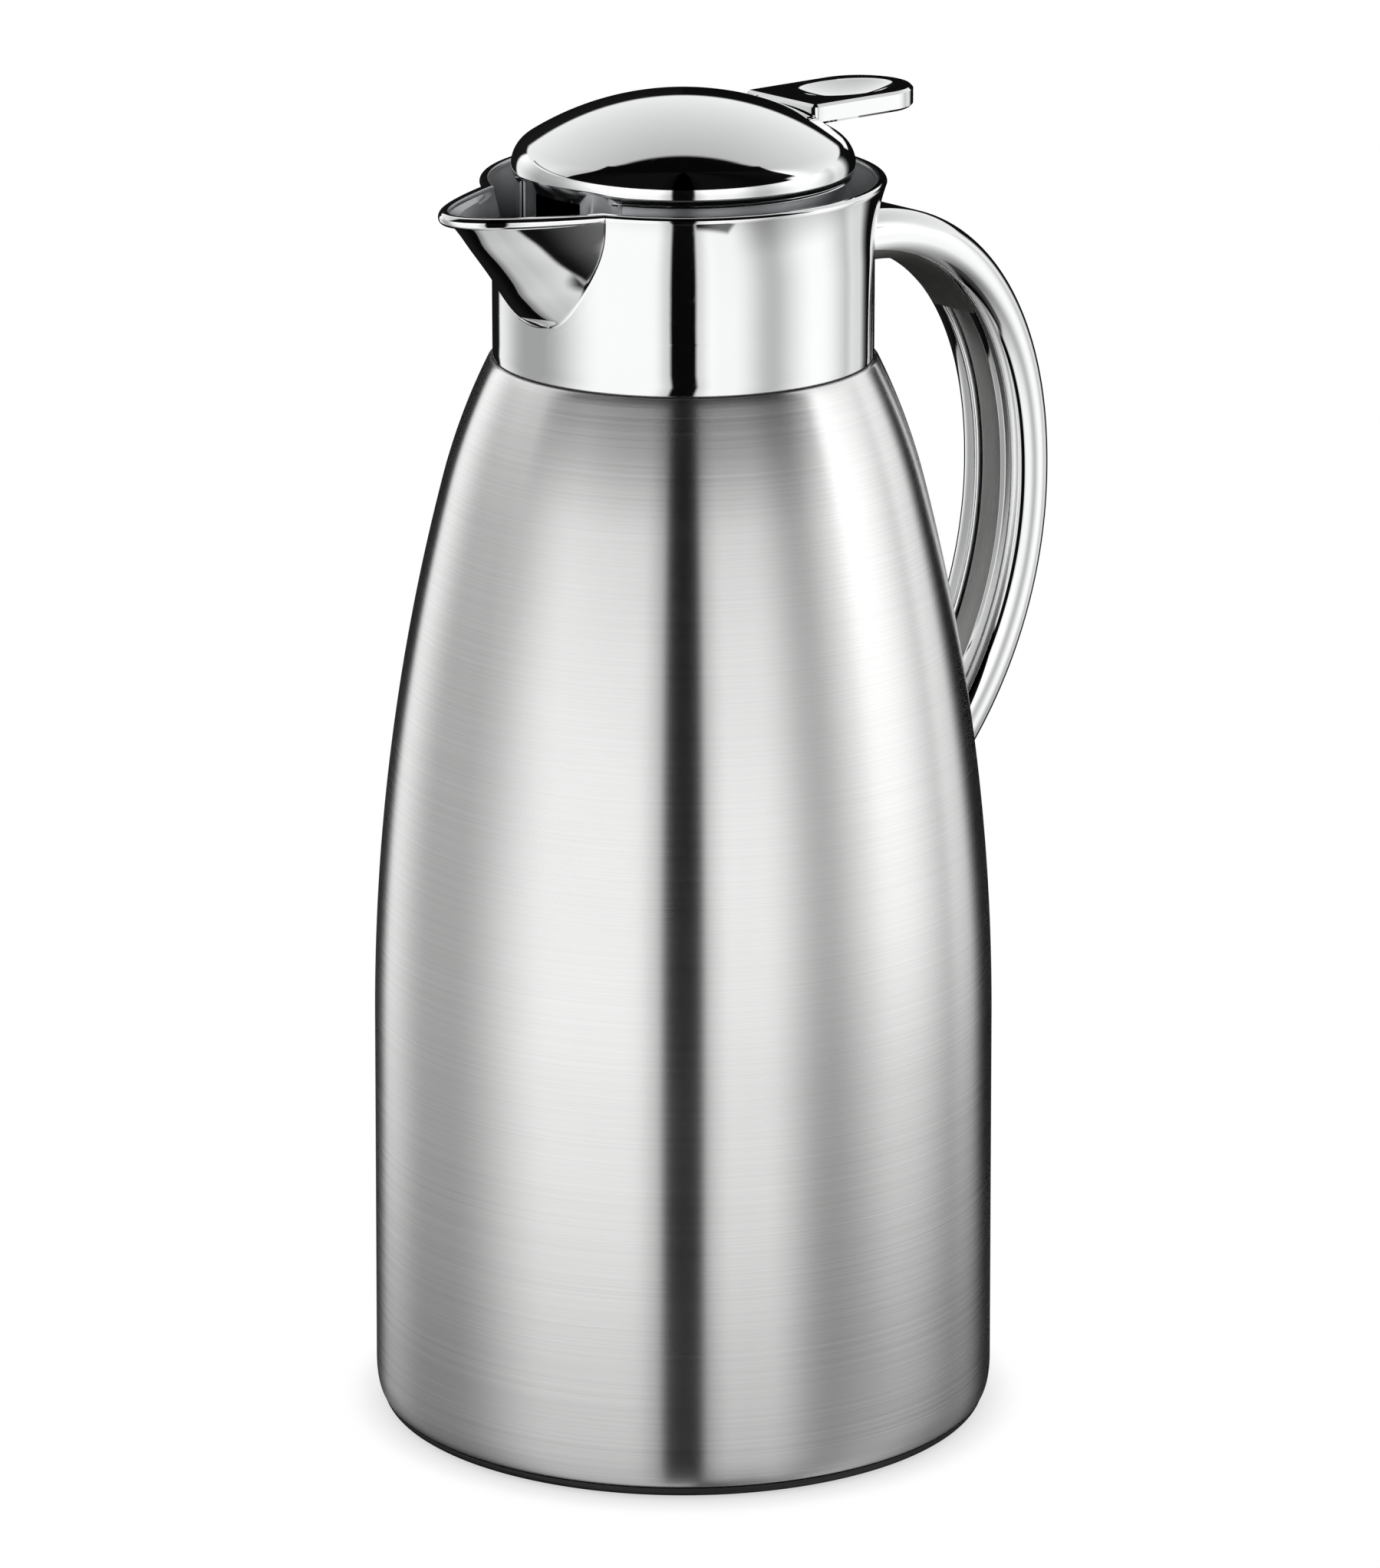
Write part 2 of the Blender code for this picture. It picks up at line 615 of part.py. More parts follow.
def neck_parts(plastic, silicone):
    insert_flange_r = COLLAR_BORE_TOP_R - FLANGE_PLAY
    insert = turned(
        "neck_insert",
        [
            (insert_flange_r, FLANGE_TOP_Z),
            (insert_flange_r, FLANGE_Z),
            (INSERT_R, FLANGE_Z),
            (INSERT_R, INSERT_Z),
            (INSERT_BORE_R, INSERT_Z),
            (INSERT_BORE_R, FLANGE_TOP_Z),
        ],
        plastic,
    )
    root_r, crest_r = INSERT_BORE_R + THREAD_BITE, INSERT_BORE_R - THREAD_DEPTH
    join(insert, *thread_ribs("insert_rib", root_r, crest_r, FLANGE_Z - THREAD_DROP, plastic))
    gasket_top_z = GASKET_Z + GASKET_H
    turned(
        "neck_gasket",
        [
            (SHELL_NECK_R, gasket_top_z),
            (SHELL_NECK_R, GASKET_Z),
            (MOUTH_R + GAP, GASKET_Z),
            (MOUTH_R + GAP, gasket_top_z),
        ],
        silicone,
    )
    turned(
        "closure_seal",
        [(SEAL_OUT_R, SEAL_TOP_Z), (SEAL_OUT_R, SEAL_Z), (SEAL_IN_R, SEAL_Z), (SEAL_IN_R, SEAL_TOP_Z)],
        silicone,
    )


def around(radius, angle, z):
    return Vector((radius * math.cos(angle), radius * math.sin(angle), z))


def stopper(chrome):
    body = turned(
        "stopper_body",
        [
            (DRUM_R, DRUM_TOP_Z),
            (DRUM_R, DRUM_LIP_Z),
            (DRUM_BORE_R, DRUM_LIP_Z),
            (DRUM_BORE_R, DRUM_FLOOR_Z),
            (STOPPER_R, DRUM_FLOOR_Z),
            (STOPPER_R, STOPPER_Z + SEAT_CHAMFER),
            (STOPPER_R - SEAT_CHAMFER, STOPPER_Z),
            (SEAT_HOLE_R, STOPPER_Z),
            (SEAT_HOLE_R, SEAT_Z),
            (STOPPER_BORE_R, SEAT_Z),
            (STOPPER_BORE_R, DRUM_FLOOR_TOP_Z),
            (DRUM_BORE_R, DRUM_FLOOR_TOP_Z),
            (DRUM_BORE_R, DRUM_TOP_Z),
        ],
        chrome,
    )
    rib_z = FLANGE_Z - THREAD_DROP - THREAD_ROOT - RUNNING_GAP
    join(body, *thread_ribs("stopper_rib", STOPPER_R - THREAD_BITE, STOPPER_R + THREAD_DEPTH, rib_z, chrome))
    for i, angle in enumerate(POST_ANGLES):
        foot = around(POST_RING_R, angle, DRUM_FLOOR_TOP_Z - DRUM_FLOOR_T / 2)
        head = around(POST_RING_R, angle, FRAME_Z - GAP)
        join(body, rod(f"post_{i + 1}", foot, head, POST_R, chrome))
        deep = around(POST_RING_R, angle, FRAME_TOP_Z - LID_SCREW_L - 2 * GAP)
        cut(body, rod(f"post_hole_{i + 1}", deep, head + Vector((0, 0, POST_R)), SCREW_R + GAP, chrome))
    low = (-DRUM_R - DRUM_WALL, -WINDOW_W / 2, DRUM_FLOOR_TOP_Z + WINDOW_SILL)
    high = (-STOPPER_BORE_R, WINDOW_W / 2, FRAME_Z - WINDOW_HEAD)
    cut(body, block("pouring_window", low, high, chrome))
    return body


def lid_frame(plastic):
    bore_r = STEM_R + GAP
    well_r = bore_r + STEM_SEAL_W
    well_z = FRAME_TOP_Z - STEM_SEAL_T - 2 * GAP
    frame = turned(
        "lid_frame",
        [
            (FRAME_R, FRAME_TOP_Z),
            (FRAME_R, FRAME_Z),
            (GUIDE_R, FRAME_Z),
            (GUIDE_R, FRAME_Z - GUIDE_L),
            (bore_r, FRAME_Z - GUIDE_L),
            (bore_r, well_z),
            (well_r, well_z),
            (well_r, FRAME_TOP_Z),
        ],
        plastic,
    )
    for side, label in ((1, "left"), (-1, "right")):
        inner, outer = HUB_HALF_W + GAP, HUB_HALF_W + GAP + EAR_T
        outline = [(PIVOT_X + HUB_R, FRAME_Z + FRAME_T / 2)]
        outline += arc((PIVOT_X, PIVOT_Z), HUB_R, 0, 180, HUB_STEPS)
        outline += [(PIVOT_X - HUB_R, FRAME_Z + FRAME_T / 2)]
        rings = [[(x, side * y, z) for x, z in outline] for y in (inner, outer)]
        join(frame, lofted(f"ear_{label}", rings, plastic))
    cut(frame, pin_bore("ear_bore", plastic))
    for i, angle in enumerate(POST_ANGLES):
        low = around(POST_RING_R, angle, FRAME_Z - FRAME_T)
        high = around(POST_RING_R, angle, FRAME_TOP_Z + FRAME_T)
        cut(frame, rod(f"frame_hole_{i + 1}", low, high, SCREW_R + GAP, plastic))
    return frame


def pin_bore(name, material):
    reach = HUB_HALF_W + 2 * EAR_T
    return rod(name, (PIVOT_X, -reach, PIVOT_Z), (PIVOT_X, reach, PIVOT_Z), LEVER_PIN_R + GAP, material)


def lid_hardware(steel, silicone):
    for i, angle in enumerate(POST_ANGLES):
        seat = around(POST_RING_R, angle, FRAME_TOP_Z + GAP)
        screw(f"lid_screw_{i + 1}", seat, (0, 0, -1), LID_SCREW_L, steel)
    half = HUB_HALF_W + GAP + EAR_T
    pivot = (PIVOT_X, 0, PIVOT_Z)
    rod("lever_pin", (PIVOT_X, -half, PIVOT_Z), (PIVOT_X, half, PIVOT_Z), LEVER_PIN_R, steel, origin=pivot)
    inner = STEM_R + GAP
    outer = inner + STEM_SEAL_W - GAP
    top = FRAME_TOP_Z - GAP
    turned(
        "stem_seal",
        [(outer, top), (outer, top - STEM_SEAL_T), (inner, top - STEM_SEAL_T), (inner, top)],
        silicone,
        SMALL_STEPS,
    )


def dome(chrome):
    crown_z = DOME_APEX_Z - DOME_CROWN_R
    edge_x = DOME_R - DOME_EDGE_R
    edge_rise = math.sqrt((DOME_CROWN_R - DOME_EDGE_R) ** 2 - edge_x**2)
    lean = math.degrees(math.atan2(edge_rise, edge_x))
    nose_z = DOME_Z + DOME_BULLNOSE
    outside = arc((0, crown_z), DOME_CROWN_R, 90, lean, CROWN_ARC_STEPS)
    outside[0] = (0, DOME_APEX_Z)
    outside += arc((edge_x, crown_z + edge_rise), DOME_EDGE_R, lean, 0, ARC_STEPS)[1:]
    for i in range(RIM_STEPS + 1):
        angle = math.pi / 2 * i / RIM_STEPS
        nose = (DOME_LIP_R + DOME_LIP_W * math.cos(angle), nose_z - DOME_BULLNOSE * math.sin(angle))
        outside.append(nose)
    seat_r = DOME_LIP_R - DOME_SEAT_W
    inner_r = DOME_CROWN_R - DOME_WALL
    inner_lean = math.degrees(math.acos(seat_r / inner_r))
    inside = [(DOME_LIP_R, DOME_SEAT_Z), (seat_r, DOME_SEAT_Z)]
    inside += arc((0, crown_z), inner_r, inner_lean, 90, ARC_STEPS)
    inside[-1] = (0, DOME_APEX_Z - DOME_WALL)
    lid = turned("lid_dome", outside + inside, chrome)
    half = LEVER_W / 2 + GAP
    low = (PIVOT_X - SLOT_FRONT, -half, DOME_SEAT_Z + GAP)
    high = (PIVOT_X + SLOT_BACK, half, DOME_APEX_Z + DOME_WALL)
    cut(lid, block("lever_slot", low, high, chrome))
    arch = [(-ARCH_HALF_W, DOME_Z - ARCH_H)]
    for i in range(ARCH_STEPS + 1):
        angle = math.pi * (1 - i / ARCH_STEPS)
        arch.append((ARCH_HALF_W * math.cos(angle), DOME_Z + ARCH_H * math.sin(angle)))
    arch += [(ARCH_HALF_W, DOME_Z - ARCH_H)]
    ends = (-DOME_R - DOME_LIP_W, ARCH_DEPTH - DOME_R)
    cut(lid, lofted("spout_arch", [[(x, y, z) for y, z in arch] for x in ends], chrome))
    return lid


def thumb_lever(chrome):
    pivot = (PIVOT_X, 0, PIVOT_Z)
    front = PIVOT_X - LEVER_FRONT
    half = LEVER_W / 2
    end = PIVOT_X + LEVER_REACH - half
    outline = [(front, -half)] + arc((end, 0), half, -90, 90, LEVER_END_STEPS) + [(front, half)]
    rings = [[(x, y, z) for x, y in outline] for z in (LEVER_Z, LEVER_TOP_Z)]
    lever = lofted("thumb_lever", rings, chrome, pivot)
    bevel = lever.modifiers.new("Edges", "BEVEL")
    bevel.width = LEVER_BEVEL
    bevel.segments = 2
    bevel.limit_method = "ANGLE"
    bevel.angle_limit = BEVEL_ANGLE
    neck_z = PIVOT_Z + HUB_R + RUNNING_GAP
    neck_top_z = LEVER_Z + LEVER_T / 2
    neck_half = half - LEVER_BEVEL
    neck = ((front, -neck_half, neck_z), (front + NECK_BLOCK_L, neck_half, neck_top_z))
    join(lever, block("lever_neck", *neck, chrome))
    hub = [(PIVOT_X + HUB_R, neck_top_z)] + arc((PIVOT_X, PIVOT_Z), HUB_R, 0, -180, HUB_STEPS)
    hub += [(PIVOT_X - HUB_R, FORK_TOP_Z), (front + LEVER_BEVEL, neck_top_z)]
    rings = [[(x, y, z) for x, z in hub] for y in (-HUB_HALF_W, HUB_HALF_W)]
    join(lever, lofted("lever_hub", rings, chrome))
    fork_z = FRAME_TOP_Z + FORK_CLEAR
    palm = STEM_FOOT_R + STEM_PIN_R
    join(lever, block("lever_arm", (palm, -FORK_HALF_W, fork_z), (PIVOT_X, FORK_HALF_W, FORK_TOP_Z), chrome))
    slot = STEM_R + 2 * GAP
    for side in (1, -1):
        near, far = sorted((side * slot, side * FORK_HALF_W))
        prong = ((-FORK_OVER, near, fork_z), (palm + STEM_PIN_R, far, FORK_TOP_Z))
        join(lever, block(f"fork_prong_{'left' if side > 0 else 'right'}", *prong, chrome))
    cut(lever, pin_bore("hub_bore", chrome))
    dish_h = DISH_DEPTH / (1 - DISH_FLATNESS)
    spread = 1 / math.sqrt(1 - DISH_FLATNESS**2)
    bm = bmesh.new()
    bmesh.ops.create_uvsphere(bm, u_segments=MEDIUM_STEPS, v_segments=DISH_RINGS, radius=1)
    shape = Matrix.Diagonal((DISH_A * spread, DISH_B * spread, dish_h, 1))
    place = Matrix.Translation((PIVOT_X + DISH_X, 0, LEVER_TOP_Z + DISH_FLATNESS * dish_h))
    bmesh.ops.transform(bm, matrix=place @ shape, verts=bm.verts)
    mesh = bpy.data.meshes.new("thumb_dish")
    bm.to_mesh(mesh)
    bm.free()
    cut(lever, add("thumb_dish", mesh, chrome))
    return lever


def valve(steel, plastic, silicone):
    seat = (0, 0, SEAT_Z)
    bore_r = STEM_R + GAP
    foot_z = VALVE_SEAL_Z - GAP
    stem = turned(
        "valve_stem",
        [
            (0, STEM_TOP_Z),
            (STEM_R, STEM_TOP_Z),
            (STEM_R, foot_z),
            (STEM_FOOT_R, foot_z),
            (STEM_FOOT_R, foot_z - STEM_FOOT_T),
            (0, foot_z - STEM_FOOT_T),
        ],
        steel,
        SMALL_STEPS,
        seat,
    )
    ends = ((0, -FORK_HALF_W, STEM_PIN_Z), (0, FORK_HALF_W, STEM_PIN_Z))
    cut(stem, rod("stem_pin_hole", *ends, STEM_PIN_R + GAP, steel))
    rod("stem_pin", *ends, STEM_PIN_R, steel, origin=seat)
    rings = (
        ("valve_seal", VALVE_R, VALVE_SEAL_Z, VALVE_SEAL_T, silicone, MEDIUM_STEPS),
        ("valve_head", VALVE_R, VALVE_HEAD_Z, VALVE_HEAD_T, plastic, MEDIUM_STEPS),
        ("stem_clip", STEM_R + CLIP_W, VALVE_TOP_Z + GAP, CLIP_T, steel, SMALL_STEPS),
    )
    for name, outer, z, height, material, steps in rings:
        ring = [(outer, z + height), (outer, z), (bore_r, z), (bore_r, z + height)]
        turned(name, ring, material, steps, seat)


def return_spring(steel):
    low = VALVE_TOP_Z + GAP + SPRING_WIRE_R
    high = FRAME_Z - GAP - SPRING_WIRE_R
    count = SPRING_TURNS * SPRING_TURN_POINTS
    points = []
    for i in range(count + 1):
        points.append(around(SPRING_R, 2 * math.pi * i / SPRING_TURN_POINTS, low + (high - low) * i / count))
    apart = SPRING_TURN_POINTS // 2
    nearest = min((a - b).length for i, a in enumerate(points) for b in points[i + apart :])
    print(f"return_spring: least gap between curls {(nearest - 2 * SPRING_WIRE_R) / MM:.2f} mm")
    curve = bpy.data.curves.new("return_spring", "CURVE")
    curve.dimensions = "3D"
    curve.bevel_depth = SPRING_WIRE_R
    curve.bevel_resolution = 1
    curve.use_fill_caps = True
    spline = curve.splines.new("POLY")
    spline.points.add(count)
    for target, point in zip(spline.points, points):
        target.co = (*point, 1)
    curve.materials.append(steel)
    obj = bpy.data.objects.new("return_spring", curve)
    bpy.context.scene.collection.objects.link(obj)
    return obj


class HandlePath:
    """The handle's centreline in the XZ plane, measured along from the collar's wall."""

    def __init__(self, outline):
        bend_x = COLLAR_R + HANDLE_STRAIGHT
        wide_z = HANDLE_ROOT_Z - HANDLE_DROP
        reach = HANDLE_REACH - bend_x
        points = [Vector((COLLAR_BORE_TOP_R, HANDLE_ROOT_Z)), Vector((COLLAR_R, HANDLE_ROOT_Z))]
        for i in range(PATH_POINTS + 1):
            angle = math.pi / 2 * (1 - i / PATH_POINTS)
            points.append(Vector((bend_x + reach * math.cos(angle), wide_z + HANDLE_DROP * math.sin(angle))))
        centre = Vector((HANDLE_REACH - HANDLE_SWEEP_R, wide_z))
        step = math.pi / 2 / PATH_POINTS
        turn = 0
        while points[-1].x > radius_at(outline, points[-1].y) and turn < math.pi / 2:
            turn += step
            points.append(centre + HANDLE_SWEEP_R * Vector((math.cos(turn), -math.sin(turn))))
        lengths = [COLLAR_BORE_TOP_R - COLLAR_R]
        for before, after in zip(points, points[1:]):
            lengths.append(lengths[-1] + (after - before).length)
        self.points, self.lengths = points, lengths
        self.length = lengths[-1]

    def at(self, along):
        """The point at a length, and the direction of travel there."""
        i = 1
        while i < len(self.lengths) - 1 and self.lengths[i] < along:
            i += 1
        before, after = self.points[i - 1], self.points[i]
        ahead = (after - before).normalized()
        return before + ahead * (along - self.lengths[i - 1]), ahead

    def place(self, along, y, v):
        """A point across the handle by y and outwards of its centreline by v."""
        point, ahead = self.at(along)
        outward = Vector((-ahead.y, ahead.x))
        spot = point + outward * v
        return Vector((spot.x, y, spot.y))

    def outward(self, along):
        ahead = self.at(along)[1]
        return Vector((-ahead.y, 0, ahead.x))


def handle_run(name, path, start, end, section, material):
    count = max(2, round(PATH_STEPS * (end - start) / path.length) + 1)
    rings = []
    for i in range(count + 1):
        along = start + (end - start) * i / count
        rings.append([path.place(along, y, v) for y, v in section])
    return lofted(name, rings, material)


def shell_section():
    """Round outside, two rounded lips, and a channel between them."""
    crown_base = CROWN_V - HANDLE_CROWN
    points = []
    for i in range(CROWN_STEPS + 1):
        angle = math.pi * i / CROWN_STEPS
        points.append((HANDLE_HALF_W * math.cos(angle), crown_base + HANDLE_CROWN * math.sin(angle)))
    lip = [
        (HANDLE_HALF_W - HANDLE_LIP_ROUND * HANDLE_LIP_TURN[0], LIP_V + HANDLE_LIP * HANDLE_LIP_TURN[1]),
        (HANDLE_HALF_W - HANDLE_LIP_ROUND, LIP_V),
        (CHANNEL_HALF_W, LIP_V),
    ]
    left = [(-y, v) for y, v in lip]
    floor = [(-CHANNEL_HALF_W, ROOF_V), (CHANNEL_HALF_W, ROOF_V)]
    return points + left + floor + lip[::-1]


def flat_section(low_v, high_v):
    return [(INLAY_HALF_W, low_v), (INLAY_HALF_W, high_v), (-INLAY_HALF_W, high_v), (-INLAY_HALF_W, low_v)]


def tab_section():
    return flat_section(TAB_V, TAB_TOP_V)


def screw_hole(name, path, along, material):
    low, high = path.place(along, 0, LIP_V), path.place(along, 0, HOLE_TOP_V)
    return rod(name, low, high, SCREW_R + GAP, material)


def handle(chrome, steel, strip_finish, outline, path):
    end = path.length + HANDLE_HALF_W
    clear = offset(outline, -GAP)
    wall = turned("body_clearance", [(0, clear[0][1])] + clear + [(0, clear[-1][1])], chrome)
    ring = [(0, COLLAR_Z), (COLLAR_R + GAP, COLLAR_Z), (COLLAR_R + GAP, RIM_Z), (0, RIM_Z)]
    neck = turned("collar_clearance", ring, chrome)
    shell_piece = handle_run("handle_shell", path, -COLLAR_WALL, end, shell_section(), chrome)
    cut(shell_piece, wall, neck)
    cover = flat_section(COVER_V, COVER_V + COVER_T)
    cut(handle_run("handle_cover_top", path, -COLLAR_WALL / 2, COVER_TOP_L, cover, strip_finish), neck)
    low_start = path.length - COVER_BOTTOM_L
    cut(handle_run("handle_cover_bottom", path, low_start, end, cover, strip_finish), wall)
    strip = flat_section(LIP_V + STRIP_RECESS, ROOF_V - GAP)
    handle_run("handle_strip", path, COVER_TOP_L + GAP, low_start - GAP, strip, strip_finish)
    bracket = handle_run("handle_bracket", path, path.length - TAB_L, end, tab_section(), steel)
    cut(bracket, wall)
    places = [(f"handle_screw_top_{i + 1}", along) for i, along in enumerate(TOP_SCREWS)]
    places += [("handle_screw_bottom", path.length - BOTTOM_SCREW)]
    length = HOLE_TOP_V - GAP - SCREW_HEAD_V
    for name, along in places:
        cut(shell_piece, screw_hole(f"{name}_hole", path, along, chrome))
        screw(name, path.place(along, 0, SCREW_HEAD_V), path.outward(along), length, steel)
    cut(bracket, screw_hole("bracket_hole", path, path.length - BOTTOM_SCREW, steel))


def axis_empty(name, spot, children):
    """An empty on a joint's axis, which carries the pieces that move about it."""
    empty = bpy.data.objects.new(name, None)
    empty.location = spot
    bpy.context.scene.collection.objects.link(empty)
    for child in children:
        obj = bpy.data.objects[child]
        obj.parent = empty
        obj.matrix_parent_inverse = Matrix.Translation(-Vector(spot))


def main():
    for obj in list(bpy.data.objects):
        bpy.data.objects.remove(obj)
    brushed = finish("brushed_steel", (0.62, 0.62, 0.61), 0.32, 1.0)
    bright = finish("bright_steel", (0.66, 0.66, 0.65), 0.2, 1.0)
    chrome = finish("chrome", (0.78, 0.79, 0.8), 0.05, 1.0)
    strip_finish = finish("handle_inlay", (0.4, 0.4, 0.4), 0.3, 1.0)
    black = finish("black_plastic", (0.02, 0.02, 0.022), 0.5, 0.0)
    grey = finish("grey_plastic", (0.12, 0.12, 0.125), 0.45, 0.0)
    rubber = finish("rubber", (0.03, 0.03, 0.03), 0.8, 0.0)
    silicone = finish("silicone", (0.7, 0.7, 0.68), 0.6, 0.0)
    outline = shell_outline()
    path = HandlePath(outline)
    shell(brushed, outline)
    flask(bright, outline)
    base(bright, black, rubber)
    collar(chrome, path)
    neck_parts(grey, silicone)
    handle(chrome, bright, strip_finish, outline, path)
    stopper(chrome)
    lid_frame(grey)
    lid_hardware(bright, silicone)
    dome(chrome)
    thumb_lever(chrome)
    valve(bright, grey, silicone)
    return_spring(bright)
    closure = ["stopper_body", "lid_frame", "lid_dome", "stem_seal", "return_spring", "lever_pin"]
    closure += [f"lid_screw_{i + 1}" for i in range(len(POST_ANGLES))]
    axis_empty("closure_axis", (0, 0, DRUM_FLOOR_Z), closure)
    axis_empty("lever_axis", (PIVOT_X, 0, PIVOT_Z), ["thumb_lever"])
    lifted = ["valve_stem", "stem_pin", "stem_clip", "valve_seal", "valve_head"]
    axis_empty("valve_axis", (0, 0, SEAT_Z), lifted)


main()
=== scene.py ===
import json
import math
from functools import partial

import bmesh
import bpy
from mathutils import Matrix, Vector


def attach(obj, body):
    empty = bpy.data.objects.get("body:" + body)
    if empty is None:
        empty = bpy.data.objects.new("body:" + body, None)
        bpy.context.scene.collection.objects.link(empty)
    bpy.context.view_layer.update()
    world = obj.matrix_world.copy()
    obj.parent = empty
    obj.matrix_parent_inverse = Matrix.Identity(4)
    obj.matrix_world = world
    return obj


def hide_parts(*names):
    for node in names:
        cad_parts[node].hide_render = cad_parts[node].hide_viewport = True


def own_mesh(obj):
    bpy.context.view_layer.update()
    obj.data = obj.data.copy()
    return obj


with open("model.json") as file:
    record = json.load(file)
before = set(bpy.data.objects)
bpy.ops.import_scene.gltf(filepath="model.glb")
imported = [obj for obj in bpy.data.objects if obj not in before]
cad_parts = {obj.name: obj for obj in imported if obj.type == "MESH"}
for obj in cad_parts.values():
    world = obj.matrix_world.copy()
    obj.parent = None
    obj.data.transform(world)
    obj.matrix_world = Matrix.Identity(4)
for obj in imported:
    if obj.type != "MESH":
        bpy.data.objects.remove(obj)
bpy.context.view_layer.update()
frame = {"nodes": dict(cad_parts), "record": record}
mm = 0.001
print("frame loaded:", len(frame["nodes"]), "CAD nodes")


# ways of working that every piece shares
def clearPick():
    if bpy.context.mode != "OBJECT":
        bpy.ops.object.mode_set(mode="OBJECT")
    bpy.ops.object.select_all(action="DESELECT")


def pickOnly(piece):
    clearPick()
    piece.select_set(True)
    bpy.context.view_layer.objects.active = piece


def newest(name):  # what was just added, with its name
    piece = bpy.context.object
    piece.name = piece.data.name = name
    return piece


def startRing(name, count, fill="NOTHING"):  # a ring of points, shaped afterwards
    clearPick()
    bpy.ops.mesh.primitive_circle_add(vertices=count, radius=10 * mm, fill_type=fill)
    return newest(name)


def closeMesh():  # from edit mode: doubles merged, strays gone, faces outwards
    bpy.ops.mesh.select_all(action="SELECT")
    bpy.ops.mesh.remove_doubles(threshold=1e-6)
    bpy.ops.mesh.delete_loose(use_verts=True, use_edges=True, use_faces=False)
    bpy.ops.mesh.select_all(action="SELECT")
    bpy.ops.mesh.normals_make_consistent(inside=False)
    bpy.ops.object.mode_set(mode="OBJECT")


def editAll():
    bpy.ops.object.mode_set(mode="EDIT")
    bpy.ops.mesh.select_all(action="SELECT")


def turnPiece(name, outline, steps):  # an outline in (r, z) millimetres, spun round the jug's axis
    piece = startRing(name, len(outline))
    for point, (r, z) in zip(piece.data.vertices, outline):
        point.co = (r * mm, 0, z * mm)
    editAll()
    bpy.ops.mesh.spin(steps=steps, angle=2 * math.pi, center=(0, 0, 0), axis=(0, 0, 1))
    closeMesh()
    return piece


def growPiece(name, rings, looped=False):  # a ring extruded again and again, each time set to the next place
    piece = startRing(name, len(rings[0]), "NOTHING" if looped else "NGON")
    bpy.ops.object.mode_set(mode="EDIT")
    mesh = bmesh.from_edit_mesh(piece.data)
    place = mesh.verts.layers.int.new("place")
    for i, point in enumerate(mesh.verts):
        point[place] = i
    bpy.ops.mesh.select_all(action="SELECT")
    for row, ring in enumerate(rings):
        if row:
            bpy.ops.mesh.extrude_region_move()
        mesh = bmesh.from_edit_mesh(piece.data)
        place = mesh.verts.layers.int["place"]
        for point in mesh.verts:
            if point.select:
                point.co = Vector(ring[point[place]]) * mm
        bmesh.update_edit_mesh(piece.data)
    closeMesh()
    piece.data.attributes.remove(piece.data.attributes["place"])
    return piece


def applyModifier(piece, kind, **settings):
    pickOnly(piece)
    step = piece.modifiers.new(kind.title(), kind)
    for key, value in settings.items():
        setattr(step, key, value)
    bpy.ops.object.modifier_apply(modifier=step.name)


def cutAway(piece, tool):
    applyModifier(piece, "BOOLEAN", operation="DIFFERENCE", object=tool, solver="EXACT")
    bpy.data.objects.remove(tool)


def addBlock(name, low, high, bevel=0.0):  # a cube set between two corners in millimetres
    clearPick()
    middle = [(a + b) / 2 * mm for a, b in zip(low, high)]
    bpy.ops.mesh.primitive_cube_add(size=1, location=middle)
    piece = newest(name)
    piece.scale = [(b - a) * mm for a, b in zip(low, high)]
    bpy.ops.object.transform_apply(location=True, rotation=True, scale=True)
    if bevel:
        editAll()
        bpy.ops.mesh.bevel(offset=bevel * mm, segments=3, affect="EDGES")
        bpy.ops.object.mode_set(mode="OBJECT")
    return piece


def joinPieces(piece, *others):
    pickOnly(piece)
    for other in others:
        other.select_set(True)
    bpy.ops.object.join()


def dress(piece, body, slotName, *stands, look=None, smooth=30):
    pickOnly(piece)
    bpy.ops.object.shade_smooth_by_angle(angle=math.radians(smooth))
    piece.data.materials.clear()
    piece.data.materials.append(look or finishes[slotName])
    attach(piece, body)
    if stands:
        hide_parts(*stands)
    print("piece done:", piece.name, len(piece.data.polygons), "faces")


def arcPoints(centre, radius, start, end, steps, tall=None):  # angles in degrees, part of an ellipse if tall is given
    tall = tall or radius
    turns = [math.radians(start + (end - start) * i / steps) for i in range(steps + 1)]
    return [(centre[0] + radius * math.cos(a), centre[1] + tall * math.sin(a)) for a in turns]


def between(start, end, steps):  # points on a straight line, without its ends
    return [tuple(a + (b - a) * i / steps for a, b in zip(start, end)) for i in range(1, steps)]


def mirrored(points):  # the other side, in the order that goes on round
    return [(-a, b) for a, b in points[::-1]]


def softArc(start, heading, end, steps):  # leaves start along heading and bends evenly to end
    begin, chord = Vector(start), Vector(end) - Vector(start)
    ahead = Vector(heading).normalized()
    side = Vector((-ahead.y, ahead.x))
    across = chord.dot(side)
    radius = chord.length_squared / (2 * across)
    sweep = 2 * math.atan2(across, chord.dot(ahead))
    points = []
    for i in range(1, steps + 1):
        angle = sweep * i / steps
        points.append(tuple(begin + ahead * radius * math.sin(angle) + side * radius * (1 - math.cos(angle))))
    return points


# camera, at the height and angle of the photograph
cameraSpec = {"reach": 1.5, "height": 0.5746, "down": 16.34, "turn": -40.0, "lens": 171.91, "shiftX": 0.00426}


